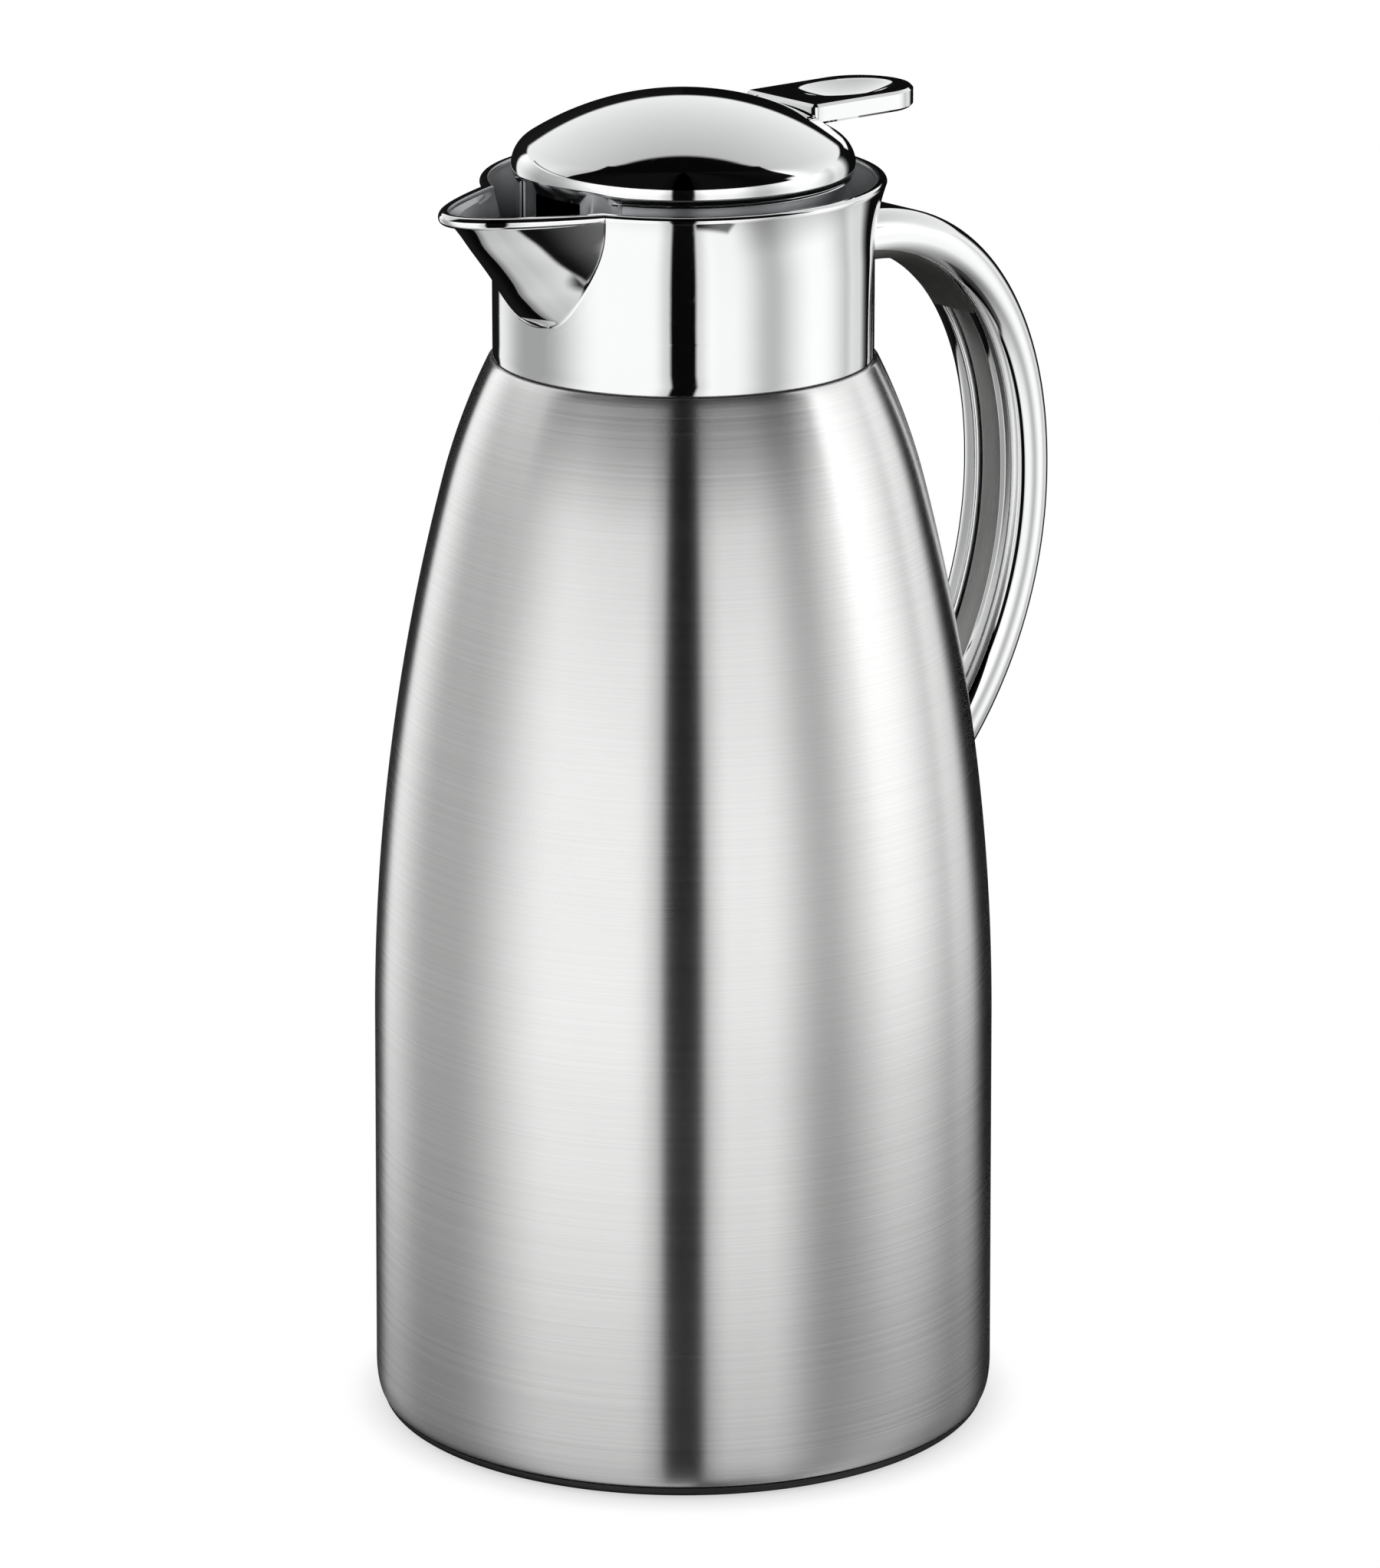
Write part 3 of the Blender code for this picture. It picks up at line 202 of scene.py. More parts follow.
def placeCamera(spec):
    clearPick()
    turn, down = math.radians(spec["turn"]), math.radians(spec["down"])
    spot = (spec["reach"] * math.sin(turn), -spec["reach"] * math.cos(turn), spec["height"])
    bpy.ops.object.camera_add(location=spot, rotation=(math.pi / 2 - down, 0, turn))
    camera = newest("studioCamera")
    camera.data.sensor_width = 36
    camera.data.lens = spec["lens"]
    camera.data.shift_x = spec["shiftX"]
    bpy.context.scene.camera = camera


placeCamera(cameraSpec)
print("camera placed")


# node helpers
def addNode(tree, kind, **settings):
    node = tree.nodes.new("ShaderNode" + kind)
    for key, value in settings.items():
        setattr(node, key, value)
    return node


def isSocket(value):
    return isinstance(value, bpy.types.NodeSocket)


def wire(value, socket):  # a link, or a plain value
    if isSocket(value):
        socket.id_data.links.new(value, socket)
    else:
        socket.default_value = value


def mathNode(operation, *values):  # in the tree of the sockets that are given
    tree = next(value.id_data for value in values if isSocket(value))
    node = addNode(tree, "Math", operation=operation)
    for value, socket in zip(values, node.inputs):
        wire(value, socket)
    return node.outputs[0]


operations = ("ADD", "SUBTRACT", "MULTIPLY", "DIVIDE", "MAXIMUM", "ABSOLUTE")
plus, minus, times, over, larger, unsigned = (partial(mathNode, operation) for operation in operations)


def remap(value, fromMin, fromMax, toMin, toMax, soft=True):
    node = addNode(value.id_data, "MapRange", interpolation_type="SMOOTHSTEP" if soft else "LINEAR")
    wire(value, node.inputs["Value"])
    for socket, number in zip(("From Min", "From Max", "To Min", "To Max"), (fromMin, fromMax, toMin, toMax)):
        wire(number, node.inputs[socket])
    return node.outputs["Result"]


def blendValue(factor, first, second):
    node = addNode(factor.id_data, "Mix", data_type="FLOAT")
    for place, value in ((0, factor), (2, first), (3, second)):
        wire(value, node.inputs[place])
    return node.outputs[0]


def mixShaders(factor, first, second):
    node = addNode(factor.id_data, "MixShader")
    for socket, source in zip(node.inputs, (factor, first, second)):
        wire(source, socket)
    return node.outputs[0]


def turnedAxes(tree, label, turn):  # coordinates that count from the front of the set: the vector, and right, back, up
    node = addNode(tree, "Mapping")
    wire((0, 0, math.radians(turn)), node.inputs["Rotation"])
    wire(addNode(tree, "TexCoord").outputs[label], node.inputs["Vector"])
    split = addNode(tree, "SeparateXYZ")
    wire(node.outputs[0], split.inputs[0])
    return (node.outputs[0], *split.outputs)


# studio light: soft panels round the jug, a bright wall behind, dark overhead and above the camera
studioSpec = {
    "turn": 40.0,  # degrees, so that angles count from the front of the set
    "ambient": 0.38,
    "panels": [  # middle, half width, soft edge, level
        (-36, 14, 46, 0.66),
        (-152, 8, 34, 0.52),
        (24, 5, 32, 0.62),
        (88, 2, 40, 0.68),
        (128, 4, 10, 0.35),
    ],
    "gap": (6.4, 9.0), "gapLow": (-54, -49), "gapFade": (8.0, 18.0, 0.7),  # dark gap between the two front panels
    "least": 0.004,  # what the darkest places still give
    "darkLeft": (-45, -20, 103, 146),  # low and high elevation, and where the dark behind begins there on the left
    "darkLeftLow": (45.0, 0.38), "darkLeftSoft": (-2.0, 3.0),  # it begins sooner below that, and how soft its edge is
    "darkRight": (133, 146), "darkBehind": 0.01,
    "rise": (-5, 14, 1.0, 1.25),  # the panels are a little brighter towards their tops
    "wallFrom": (15.5, 18.5), "wallTurn": (80, 110),  # elevation and angle where the bright wall behind begins
    "wallSpan": (17, 66.0), "wallLevels": (0.92, 0.52),
    "darkFrom": (18.6, 20.4),  # elevation where the dark above the panels begins
    "darkEdge": (0.39, 0.40, 0.28, 0.47),  # reach past overhead, straight half, how soon and how far it bends forward
    "darkSoft": 0.02,
    "darkEnd": (76, 84), "darkEndTop": (24, 30),  # where it ends on the right, below this elevation
    "seam": (-134.0, -86.0, 21.0, 0.9),  # thin dark seam on the left, from, to, elevation, half height
    "seamEnd": 3.0, "seamDepth": 0.97,
    "lowCard": {  # only surfaces facing down can see it
        "slant": 0.176, "edge": (-0.036, -0.005), "fade": (0.14, 0.40), "levels": (0.008, 0.18), "wide": (0.88, 1.0),
        "side": 1.75, "front": (0.05, 0.15), "steep": (-0.4, -0.3),
    },
    "lamps": [("fillLeft", (-1.4, -0.6, 1.3)), ("fillRight", (0.9, -1.5, 1.2))], "lampPower": 9.0, "lampSize": 0.9,
    "lampAim": (0, 0, 0.15),
}


def lightStudio(spec):
    world = bpy.data.worlds.new("studioLight")
    bpy.context.scene.world = world
    world.use_nodes = True
    world.cycles.sampling_method = "NONE"
    tree = world.node_tree
    tree.nodes.clear()
    least = spec["least"]
    _, right, back, up = turnedAxes(tree, "Generated", spec["turn"])
    front = times(back, -1.0)
    azimuth = mathNode("DEGREES", mathNode("ARCTAN2", right, front))
    elevation = mathNode("DEGREES", mathNode("ARCSINE", up))
    around = unsigned(azimuth)
    ring = None
    for middle, half, soft, level in spec["panels"]:
        away = unsigned(minus(azimuth, float(middle)))
        panel = remap(away, half, half + soft, level, 0.0)
        ring = panel if ring is None else plus(ring, panel)
    ring = plus(ring, spec["ambient"])
    gap = times(remap(around, *spec["gap"], least, 1.0), remap(around, *spec["gapFade"], 1.0))
    gap = larger(gap, remap(elevation, *spec["gapLow"], 1.0, 0.0))
    ring = times(ring, gap)
    below, sooner = spec["darkLeftLow"]
    steeper = mathNode("MINIMUM", plus(elevation, below), 0.0)
    edge = remap(elevation, *spec["darkLeft"], soft=False)
    edge = plus(edge, times(steeper, sooner))
    pastEdge = minus(times(azimuth, -1.0), edge)
    ring = times(ring, remap(pastEdge, *spec["darkLeftSoft"], 1.0, spec["darkBehind"]))
    ring = times(ring, remap(azimuth, *spec["darkRight"], 1.0, spec["darkBehind"]))
    ring = times(ring, remap(elevation, *spec["rise"]))
    wall = remap(elevation, *spec["wallSpan"], *spec["wallLevels"], soft=False)
    above = remap(elevation, *spec["wallFrom"], 0.0, 1.0)
    behind = times(above, remap(around, *spec["wallTurn"], 0.0, 1.0))
    level = blendValue(behind, ring, wall)
    # dark above the panels and overhead, with a straight edge behind that bends down at both sides
    steep = larger(up, 0.001)
    sideways = unsigned(over(right, steep))
    along = over(back, steep)
    reach, straight, soon, far = spec["darkEdge"]
    beyond = larger(minus(sideways, straight), 0.0)
    fall = mathNode("POWER", math.e, over(beyond, -soon))
    bent = times(minus(1.0, fall), far)
    past = plus(minus(along, reach), bent)
    isWall = remap(past, -spec["darkSoft"], spec["darkSoft"], 0.0, 1.0)
    ended = remap(azimuth, *spec["darkEnd"], 0.0, 1.0)
    ended = times(ended, remap(elevation, *spec["darkEndTop"], 1.0, 0.0))
    isLow = remap(elevation, *spec["darkFrom"], 1.0, 0.0)
    isLit = larger(larger(isWall, ended), isLow)
    level = times(level, larger(isLit, least))
    fromTurn, toTurn, seamAt, seamHalf = spec["seam"]
    halfTurn = (toTurn - fromTurn) / 2
    offMiddle = unsigned(minus(azimuth, (fromTurn + toTurn) / 2))
    offSeam = unsigned(minus(elevation, seamAt))
    inSeam = remap(offMiddle, halfTurn - spec["seamEnd"], halfTurn, 1.0, 0.0)
    inSeam = times(inSeam, remap(offSeam, seamHalf / 2, seamHalf, spec["seamDepth"], 0.0))
    level = times(level, minus(1.0, inSeam))
    # a dark card low in front
    card = spec["lowCard"]
    down = larger(times(up, -1.0), 0.001)
    lowRight = over(right, down)
    lowFront = over(front, down)
    slanted = minus(lowRight, times(lowFront, card["slant"]))
    inCard = remap(slanted, *card["edge"], 0.0, 1.0)
    away = larger(times(lowRight, card["side"]), lowFront)
    inCard = times(inCard, remap(away, *card["wide"], 1.0, 0.0))
    inCard = times(inCard, remap(lowFront, *card["front"], 0.0, 1.0))
    inCard = times(inCard, remap(up, *card["steep"], 1.0, 0.0))
    level = blendValue(inCard, level, remap(lowRight, *card["fade"], *card["levels"]))
    studio = addNode(tree, "Background")
    wire(level, studio.inputs["Color"])
    white = addNode(tree, "Background")
    wire((1, 1, 1, 1), white.inputs["Color"])
    inView = addNode(tree, "LightPath").outputs["Is Camera Ray"]
    mixed = mixShaders(inView, studio.outputs[0], white.outputs[0])
    wire(mixed, addNode(tree, "OutputWorld").inputs["Surface"])
    # two soft lamps that lift the dull pieces and stay out of the reflections
    for name, spot in spec["lamps"]:
        clearPick()
        aim = (Vector(spec["lampAim"]) - Vector(spot)).to_track_quat("-Z", "Y").to_euler()
        bpy.ops.object.light_add(type="AREA", location=spot, rotation=aim)
        lamp = newest(name)
        lamp.data.shape = "DISK"
        lamp.data.size = spec["lampSize"]
        lamp.data.energy = spec["lampPower"]
        lamp.visible_glossy = False


# white floor with a narrow shadow under the foot, and what the metal sees of it
floorSpec = {
    "shadow": (0.010, 0.9, 0.6),  # how far it reaches, how open the clear floor is, and the darkest level
    "near": (0.06, 0.35, 0.45),  # distance from and to, and the level close by
    "right": (0.17, 0.60, 0.42), "rightTurn": (25.0, 60.0),
}


def layFloor(spec):
    clearPick()
    bpy.ops.mesh.primitive_plane_add(size=8, location=(0, 0, 0))
    floor = newest("paleFloor")
    look = bpy.data.materials.new("paleFloor")
    look.use_nodes = True
    look.cycles.emission_sampling = "NONE"
    tree = look.node_tree
    tree.nodes.clear()
    path = addNode(tree, "LightPath")
    dull = addNode(tree, "BsdfDiffuse")
    wire((0.8, 0.8, 0.8, 1), dull.inputs["Color"])
    shade = addNode(tree, "AmbientOcclusion", samples=8)
    shade.inputs["Distance"].default_value, clear, darkest = spec["shadow"]
    paper = addNode(tree, "Emission")
    wire(remap(shade.outputs["AO"], 0.0, clear, darkest, 1.0, soft=False), paper.inputs["Color"])
    seen = mixShaders(path.outputs["Is Camera Ray"], dull.outputs[0], paper.outputs[0])
    # in the metal the floor only darkens what lies beyond, most of all close to the jug and on the right
    spot, right, back, _ = turnedAxes(tree, "Object", studioSpec["turn"])
    azimuth = mathNode("DEGREES", mathNode("ARCTAN2", right, times(back, -1.0)))
    length = addNode(tree, "VectorMath", operation="LENGTH")
    wire(spot, length.inputs[0])
    far = length.outputs["Value"]
    onRight = remap(azimuth, *spec["rightTurn"], 0.0, 1.0)
    level = times(remap(far, *spec["near"], 1.0), blendValue(onRight, 1.0, remap(far, *spec["right"], 1.0)))
    veil = addNode(tree, "BsdfTransparent")
    wire(level, veil.inputs["Color"])
    both = mixShaders(path.outputs["Is Glossy Ray"], seen, veil.outputs[0])
    wire(both, addNode(tree, "OutputMaterial").inputs["Surface"])
    floor.data.materials.append(look)


lightStudio(studioSpec)
layFloor(floorSpec)
bpy.context.scene.view_settings.view_transform = "Standard"
print("studio lit")


# finishes: noise that they share
noiseSpec = {
    "fine": (1.0, 3.0, 0.6), "broad": (0.23, 2.0, 0.5), "shares": (0.9, 0.1), "lines": (0.3, 0.7),
    "cloud": (0.35, 0.75), "cloudDetail": 5.0, "hairTurn": (0.4, 0.7, 0.3), "hairStretch": (40, 1500, 700),
    "hair": (0.66, 0.74), "grainDetail": 4.0, "patch": (45.0, 3.0),
}


def newGroup(name, numbers, outputs):  # a vector and these numbers go in
    group = bpy.data.node_groups.new(name, "ShaderNodeTree")
    group.interface.new_socket("Vector", in_out="INPUT", socket_type="NodeSocketVector")
    for label, value in numbers.items():
        group.interface.new_socket(label, in_out="INPUT", socket_type="NodeSocketFloat").default_value = value
    for label in outputs:
        group.interface.new_socket(label, in_out="OUTPUT", socket_type="NodeSocketFloat")
    return group, group.nodes.new("NodeGroupInput").outputs, group.nodes.new("NodeGroupOutput").inputs


def noiseValue(vector, scale, detail, roughness=0.5):
    node = addNode(vector.id_data, "TexNoise")
    for label, value in zip(("Vector", "Scale", "Detail", "Roughness"), (vector, scale, detail, roughness)):
        wire(value, node.inputs[label])
    return node.outputs["Fac"]


def makeBrushing(spec):  # fine lines, stretched as the inputs say
    group, given, out = newGroup("fineBrushing", {"X": 30.0, "Y": 30.0, "Z": 3000.0}, ["Tone", "Height"])
    stretch = addNode(group, "CombineXYZ")
    for i, label in enumerate("XYZ"):
        wire(given[label], stretch.inputs[i])
    spread = addNode(group, "VectorMath", operation="MULTIPLY")
    wire(given["Vector"], spread.inputs[0])
    wire(stretch.outputs[0], spread.inputs[1])
    fine, broad = (noiseValue(spread.outputs[0], *spec[label]) for label in ("fine", "broad"))
    mixed = plus(times(fine, spec["shares"][0]), times(broad, spec["shares"][1]))
    wire(remap(mixed, *spec["lines"], 0.0, 1.0, soft=False), out["Tone"])
    wire(fine, out["Height"])
    return group


def makeSmudges(spec):  # cloudy hand marks and a few hair scratches
    group, given, out = newGroup("handMarks", {"Size": 30.0}, ["Cloud", "Hairline"])
    cloud = noiseValue(given["Vector"], given["Size"], spec["cloudDetail"])
    wire(remap(cloud, *spec["cloud"], 0.0, 1.0), out["Cloud"])
    hair = addNode(group, "Mapping")
    wire(spec["hairTurn"], hair.inputs["Rotation"])
    wire(spec["hairStretch"], hair.inputs["Scale"])
    wire(given["Vector"], hair.inputs["Vector"])
    strand = noiseValue(hair.outputs[0], 1.0, 1.0)
    wire(remap(strand, *spec["hair"], 0.0, 1.0), out["Hairline"])
    return group


def makeGrain(spec):  # moulded grain
    group, given, out = newGroup("mouldGrain", {"Scale": 2500.0}, ["Grain", "Patch"])
    wire(noiseValue(given["Vector"], given["Scale"], spec["grainDetail"]), out["Grain"])
    wire(noiseValue(given["Vector"], *spec["patch"]), out["Patch"])
    return group


brushing, handMarks, mouldGrain = (make(noiseSpec) for make in (makeBrushing, makeSmudges, makeGrain))


def newLook(name):
    look = bpy.data.materials.new(name)
    look.use_nodes = True
    shader = look.node_tree.nodes["Principled BSDF"]
    return look, shader, addNode(look.node_tree, "TexCoord").outputs["Object"]


def useGroup(group, where, **values):
    node = addNode(where.id_data, "Group", node_tree=group)
    wire(where, node.inputs["Vector"])
    for key, value in values.items():
        wire(value, node.inputs[key])
    return node.outputs


def tint(factor, dark, light, socket):
    node = addNode(factor.id_data, "Mix", data_type="RGBA")
    wire(factor, node.inputs[0])
    wire((*dark, 1), node.inputs[6])
    wire((*light, 1), node.inputs[7])
    wire(node.outputs[2], socket)


def bumpUp(height, strength, depth, shader):
    bump = addNode(height.id_data, "Bump")
    wire(strength, bump.inputs["Strength"])
    wire(depth * mm, bump.inputs["Distance"])
    wire(height, bump.inputs["Height"])
    wire(bump.outputs[0], shader.inputs["Normal"])


def brushedLook(name, spec):
    look, shader, where = newLook(name)
    lines = useGroup(brushing, where, **spec["stretch"])
    marks = useGroup(handMarks, where, Size=spec["markSize"])
    tint(lines["Tone"], spec["dark"], spec["light"], shader.inputs["Base Color"])
    rough = remap(lines["Tone"], 0.0, 1.0, *spec["rough"], soft=False)
    worn = times(marks["Cloud"], spec["marks"])
    wire(plus(rough, worn), shader.inputs["Roughness"])
    wire(1.0, shader.inputs["Metallic"])
    wire(spec["anisotropy"], shader.inputs["Anisotropic"])
    wire(spec["turn"], shader.inputs["Anisotropic Rotation"])
    bumpUp(lines["Height"], spec["bump"], 0.02, shader)
    return look


def chromeLook(name, spec):
    look, shader, where = newLook(name)
    marks = useGroup(handMarks, where, Size=spec["markSize"])
    tree = look.node_tree
    # painted shade: the collar's inner walls, marked by an attribute, take a darker colour; they also get a rougher
    # finish
    inside = addNode(tree, "Attribute", attribute_name="inside").outputs["Fac"]  # marked on the collar
    toned = addNode(tree, "Mix", data_type="RGBA")
    wire(inside, toned.inputs[0])
    tint(marks["Cloud"], spec["dark"], spec["light"], toned.inputs[6])
    wire((*spec["inside"], 1), toned.inputs[7])
    wire(toned.outputs[2], shader.inputs["Base Color"])
    rough = remap(marks["Cloud"], 0.0, 1.0, *spec["rough"], soft=False)
    rough = plus(rough, times(marks["Hairline"], spec["hair"]))
    wire(blendValue(inside, rough, spec["insideRough"]), shader.inputs["Roughness"])
    wire(1.0, shader.inputs["Metallic"])
    return look


def mouldedLook(name, spec):
    look, shader, where = newLook(name)
    grain = useGroup(mouldGrain, where, Scale=spec["grainScale"])
    tint(grain["Patch"], spec["dark"], spec["light"], shader.inputs["Base Color"])
    wire(remap(grain["Patch"], 0.3, 0.7, *spec["rough"], soft=False), shader.inputs["Roughness"])
    bumpUp(grain["Grain"], spec["bump"], spec["depth"], shader)
    return look


finishes = {}  # by material slot
finishes["brushed_steel"] = brushedLook("brushedSteel", {
    "stretch": {"X": 8.0, "Y": 8.0, "Z": 3000.0}, "dark": (0.90, 0.90, 0.895), "light": (1.0, 1.0, 0.995),
    "rough": (0.235, 0.262), "markSize": 22.0, "marks": 0.02, "anisotropy": 1.0, "turn": 0.25, "bump": 0.02,
})
finishes["bright_steel"] = brushedLook("brightSteel", {
    "stretch": {"X": 60.0, "Y": 60.0, "Z": 2200.0}, "dark": (0.60, 0.60, 0.59), "light": (0.70, 0.70, 0.69),
    "rough": (0.16, 0.24), "markSize": 30.0, "marks": 0.05, "anisotropy": 0.5, "turn": 0.25, "bump": 0.05,
})
finishes["handle_inlay"] = brushedLook("satinInlay", {
    "stretch": {"X": 500.0, "Y": 2600.0, "Z": 500.0}, "dark": (0.34, 0.34, 0.335), "light": (0.44, 0.44, 0.43),
    "rough": (0.34, 0.46), "markSize": 40.0, "marks": 0.08, "anisotropy": 0.0, "turn": 0.0, "bump": 0.06,
})
dullInlay = brushedLook("dullInlay", {
    "stretch": {"X": 500.0, "Y": 2600.0, "Z": 500.0}, "dark": (0.20, 0.195, 0.185), "light": (0.27, 0.265, 0.25),
    "rough": (0.44, 0.54), "markSize": 40.0, "marks": 0.06, "anisotropy": 0.0, "turn": 0.0, "bump": 0.05,
})
finishes["chrome"] = chromeLook("mirrorChrome", {
    "dark": (0.93, 0.935, 0.94), "light": (0.90, 0.905, 0.91), "rough": (0.025, 0.05), "markSize": 26.0, "hair": 0.03,
    # painted shade on the collar's inner walls: a darker colour, and a rougher finish
    "inside": (0.46, 0.47, 0.48), "insideRough": 0.28,
})
finishes["black_plastic"] = mouldedLook("blackPlastic", {
    "dark": (0.012, 0.012, 0.013), "light": (0.026, 0.026, 0.028), "rough": (0.40, 0.52), "grainScale": 3200.0,
    "bump": 0.25, "depth": 0.05,
})
finishes["grey_plastic"] = mouldedLook("greyPlastic", {
    "dark": (0.085, 0.085, 0.088), "light": (0.125, 0.125, 0.13), "rough": (0.38, 0.50), "grainScale": 2600.0,
    "bump": 0.2, "depth": 0.05,
})
finishes["rubber"] = mouldedLook("padRubber", {
    "dark": (0.02, 0.02, 0.02), "light": (0.042, 0.042, 0.042), "rough": (0.72, 0.86), "grainScale": 1400.0,
    "bump": 0.4, "depth": 0.12,
})
finishes["silicone"] = mouldedLook("milkySilicone", {
    "dark": (0.62, 0.62, 0.60), "light": (0.74, 0.74, 0.72), "rough": (0.42, 0.56), "grainScale": 1800.0,
    "bump": 0.12, "depth": 0.05,
})
print("finishes ready")


# body: a straight lower part, a long belly and a shoulder up to the collar
shellSpec = {
    "seamR": 64.1, "seamZ": 3.0, "footR": 65.4, "footZ": 9.0, "waistR": 64.9, "waistZ": 85.0,
    "shoulderR": 49.9, "shoulderZ": 200.0, "neckR": 40.2, "neckZ": 226.2, "wall": 0.7,
    "spigotR": 32.3, "spigotTop": 240.2, "ledge": 0.4, "steps": 220,
}


def shellOutline(spec):
    footR, footZ, waist = spec["footR"], spec["footZ"], (spec["waistR"], spec["waistZ"])
    outline = arcPoints((spec["seamR"], footZ), footR - spec["seamR"], -90, 0, 12, footZ - spec["seamZ"])  # rolled foot
    outline += between((footR, footZ), waist, 6) + [waist]
    rise = (waist[0] - footR, waist[1] - footZ)
    outline += softArc(outline[-1], rise, (spec["shoulderR"], spec["shoulderZ"]), 44)
    last = Vector(outline[-1]) - Vector(outline[-2])
    return outline + softArc(outline[-1], last, (spec["neckR"], spec["neckZ"]), 18)


def buildShell(spec):
    outside = shellOutline(spec)
    ledgeZ = spec["neckZ"] + spec["ledge"]
    wall = spec["wall"]
    inside = [(r - wall, z) for r, z in outside]
    neck = [(spec["neckR"] - spec["ledge"], ledgeZ), (spec["spigotR"], ledgeZ), (spec["spigotR"], spec["spigotTop"])]
    back = [(spec["spigotR"] - wall, spec["spigotTop"]), (spec["spigotR"] - wall, ledgeZ - wall)]
    piece = turnPiece("bodyShell", outside + neck + back + inside[::-1], spec["steps"])
    dress(piece, "jug", "brushed_steel", "outer_shell")


buildShell(shellSpec)


# black foot ring under the body
footSpec = {
    "edgeR": 64.1, "topZ": 2.7, "bottomZ": 0.4, "inset": 2.6, "padR": 52.3, "floorZ": 1.8, "wallR": 63.0,
    "discZ": 3.6, "ridgeZ": 6.0, "ridge": 2.0, "steps": 180,
}


def buildFoot(spec):
    innerR = spec["wallR"] - spec["ridge"]
    outline = [(0, spec["discZ"]), (innerR, spec["discZ"]), (innerR, spec["ridgeZ"])]
    outline += [(spec["wallR"], spec["ridgeZ"]), (spec["wallR"], spec["topZ"])]
    edge = (spec["edgeR"] - spec["inset"], spec["topZ"])
    outline += arcPoints(edge, spec["inset"], 0, -90, 8, spec["topZ"] - spec["bottomZ"])
    outline += [(spec["padR"], spec["bottomZ"]), (spec["padR"], spec["floorZ"]), (0, spec["floorZ"])]
    piece = turnPiece("footRing", outline, spec["steps"])
    dress(piece, "jug", "black_plastic", "base_cover")


buildFoot(footSpec)


# collar and beak, one skin: every ring has its points crowded where the beak leaves the collar
collarSpec = {
    "bottomZ": 226.9, "wallR": 39.2, "flareZ": 249.2, "rimZ": 264.0, "rimR": 41.6, "rimInnerR": 39.4,
    "rimRound": 0.8, "boreR": 36.6, "floorTop": 246.3, "floorZ": 243.8, "mouthR": 30.7, "neckBore": 32.7,
    "tipR": 61.3, "lipBlunt": 0.9, "beakWall": 2.2, "lean": 0.86,
    "width": [  # the beak's half width at the collar, (z, y)
        (229.0, 2.5), (237.6, 2.8), (238.3, 4.0), (239.2, 6.0), (240.3, 7.8), (242.0, 9.6), (244.4, 11.5),
        (248.9, 14.4), (255.4, 17.4), (262.0, 19.4), (264.0, 19.7),
    ],
    "keel": [  # its lower edge, (z, r)
        (229.0, 24.0), (235.5, 33.0), (237.4, 37.7), (238.3, 39.2), (239.2, 40.4), (240.7, 42.1), (244.4, 45.05),
        (248.1, 47.8), (255.4, 53.84), (259.2, 56.89), (264.0, 61.2),
    ],
    "blunt": [(229.0, 2.23), (238.0, 2.23), (243.0, 2.18), (248.0, 0.98), (255.0, 0.615), (264.0, 0.48)],
    "bead": (0.75, 1.15, 1.2, 110.0),  # set in, depth, height and how far it rolls under, at the tip
    "toeZ": 238.2, "toeTall": 12, "toeBlend": 0.3, "creaseBlend": 0.22, "channelBlend": 0.4, "footEdge": 0.3,
    "beakSteps": 26, "wallSteps": 60, "beadSteps": 16, "edgeSteps": 8, "innerSteps": 24,
    "crowd": (0.12, 0.3, 0.55, 0.9, 1.4, 2.0),  # millimetres either side of the crease
    "levels": [  # heights of the rings, closer together at the toe
        229, 231.5, 233.5, 235, 236, 236.6, 237, 237.3, 237.5, 237.7, 237.85, 238, 238.15, 238.3, 238.45, 238.6,
        238.75, 238.9, 239.05, 239.2, 239.4, 239.6, 239.9, 240.2, 240.5, 240.9, 241.4, 242, 242.8, 243.6, 244.5, 245.5,
        246.5, 247.5, 248.6, 249.8, 251, 252.2, 253.4, 254.6, 255.8, 257, 258.2, 259.4, 260.4, 261.3, 262.1, 262.7,
        263.2,
    ],
}


def beakRadius(turn, plan):  # the beak's plan seen from the jug's axis: tip, depth, half width and how blunt its nose
    tip, deep, half, blunt = plan
    if abs(turn) > 1.0:
        return 0.0
    s, c = abs(math.sin(turn)), math.cos(turn)
    full = math.hypot(blunt, 1) - blunt
    low, high = 0.0, tip / c
    for _ in range(32):
        r = (low + high) / 2
        t = r * s / half
        shape = (math.hypot(blunt, t) - blunt) / full + 2 * max(t - 1, 0) ** 2
        if r * c < tip - deep * shape:
            low = r
        else:
            high = r
    return low


def ringTurns(half, spec):
    radius, count, rest = spec["wallR"], spec["beakSteps"], spec["wallSteps"]
    shrink = min(1.0, half * radius / 4.0)
    steps = [d * shrink / radius for d in spec["crowd"]]
    side = [(half - steps[-1]) * i / count for i in range(1, count + 1)]
    side += [half - d for d in steps[-2::-1]] + [half] + [half + d for d in steps]
    last = side[-1]
    side += [last + (math.pi - last) * i / rest for i in range(1, rest + 1)]
    return [-a for a in side[-2::-1]] + [0.0] + side


def softMax(a, b, k):  # the larger of two, rounded only where they come close
    near = max(k - abs(a - b), 0) / k
    return max(a, b) + near * near * k / 4


def alongLine(points, at):  # smooth curve through the points, by their own slopes
    i = max(j for j in range(len(points) - 1) if points[j][0] <= at or j == 0)
    slopes = []
    for j in (i, i + 1):
        before, after = points[max(j - 1, 0)], points[min(j + 1, len(points) - 1)]
        slopes.append((after[1] - before[1]) / (after[0] - before[0]))
    (x0, y0), (x1, y1) = points[i], points[i + 1]
    wide = x1 - x0
    t = (at - x0) / wide
    first = (2 * t**3 - 3 * t**2 + 1) * y0 + (t**3 - 2 * t**2 + t) * wide * slopes[0]
    return first + (3 * t**2 - 2 * t**3) * y1 + (t**3 - t**2) * wide * slopes[1]


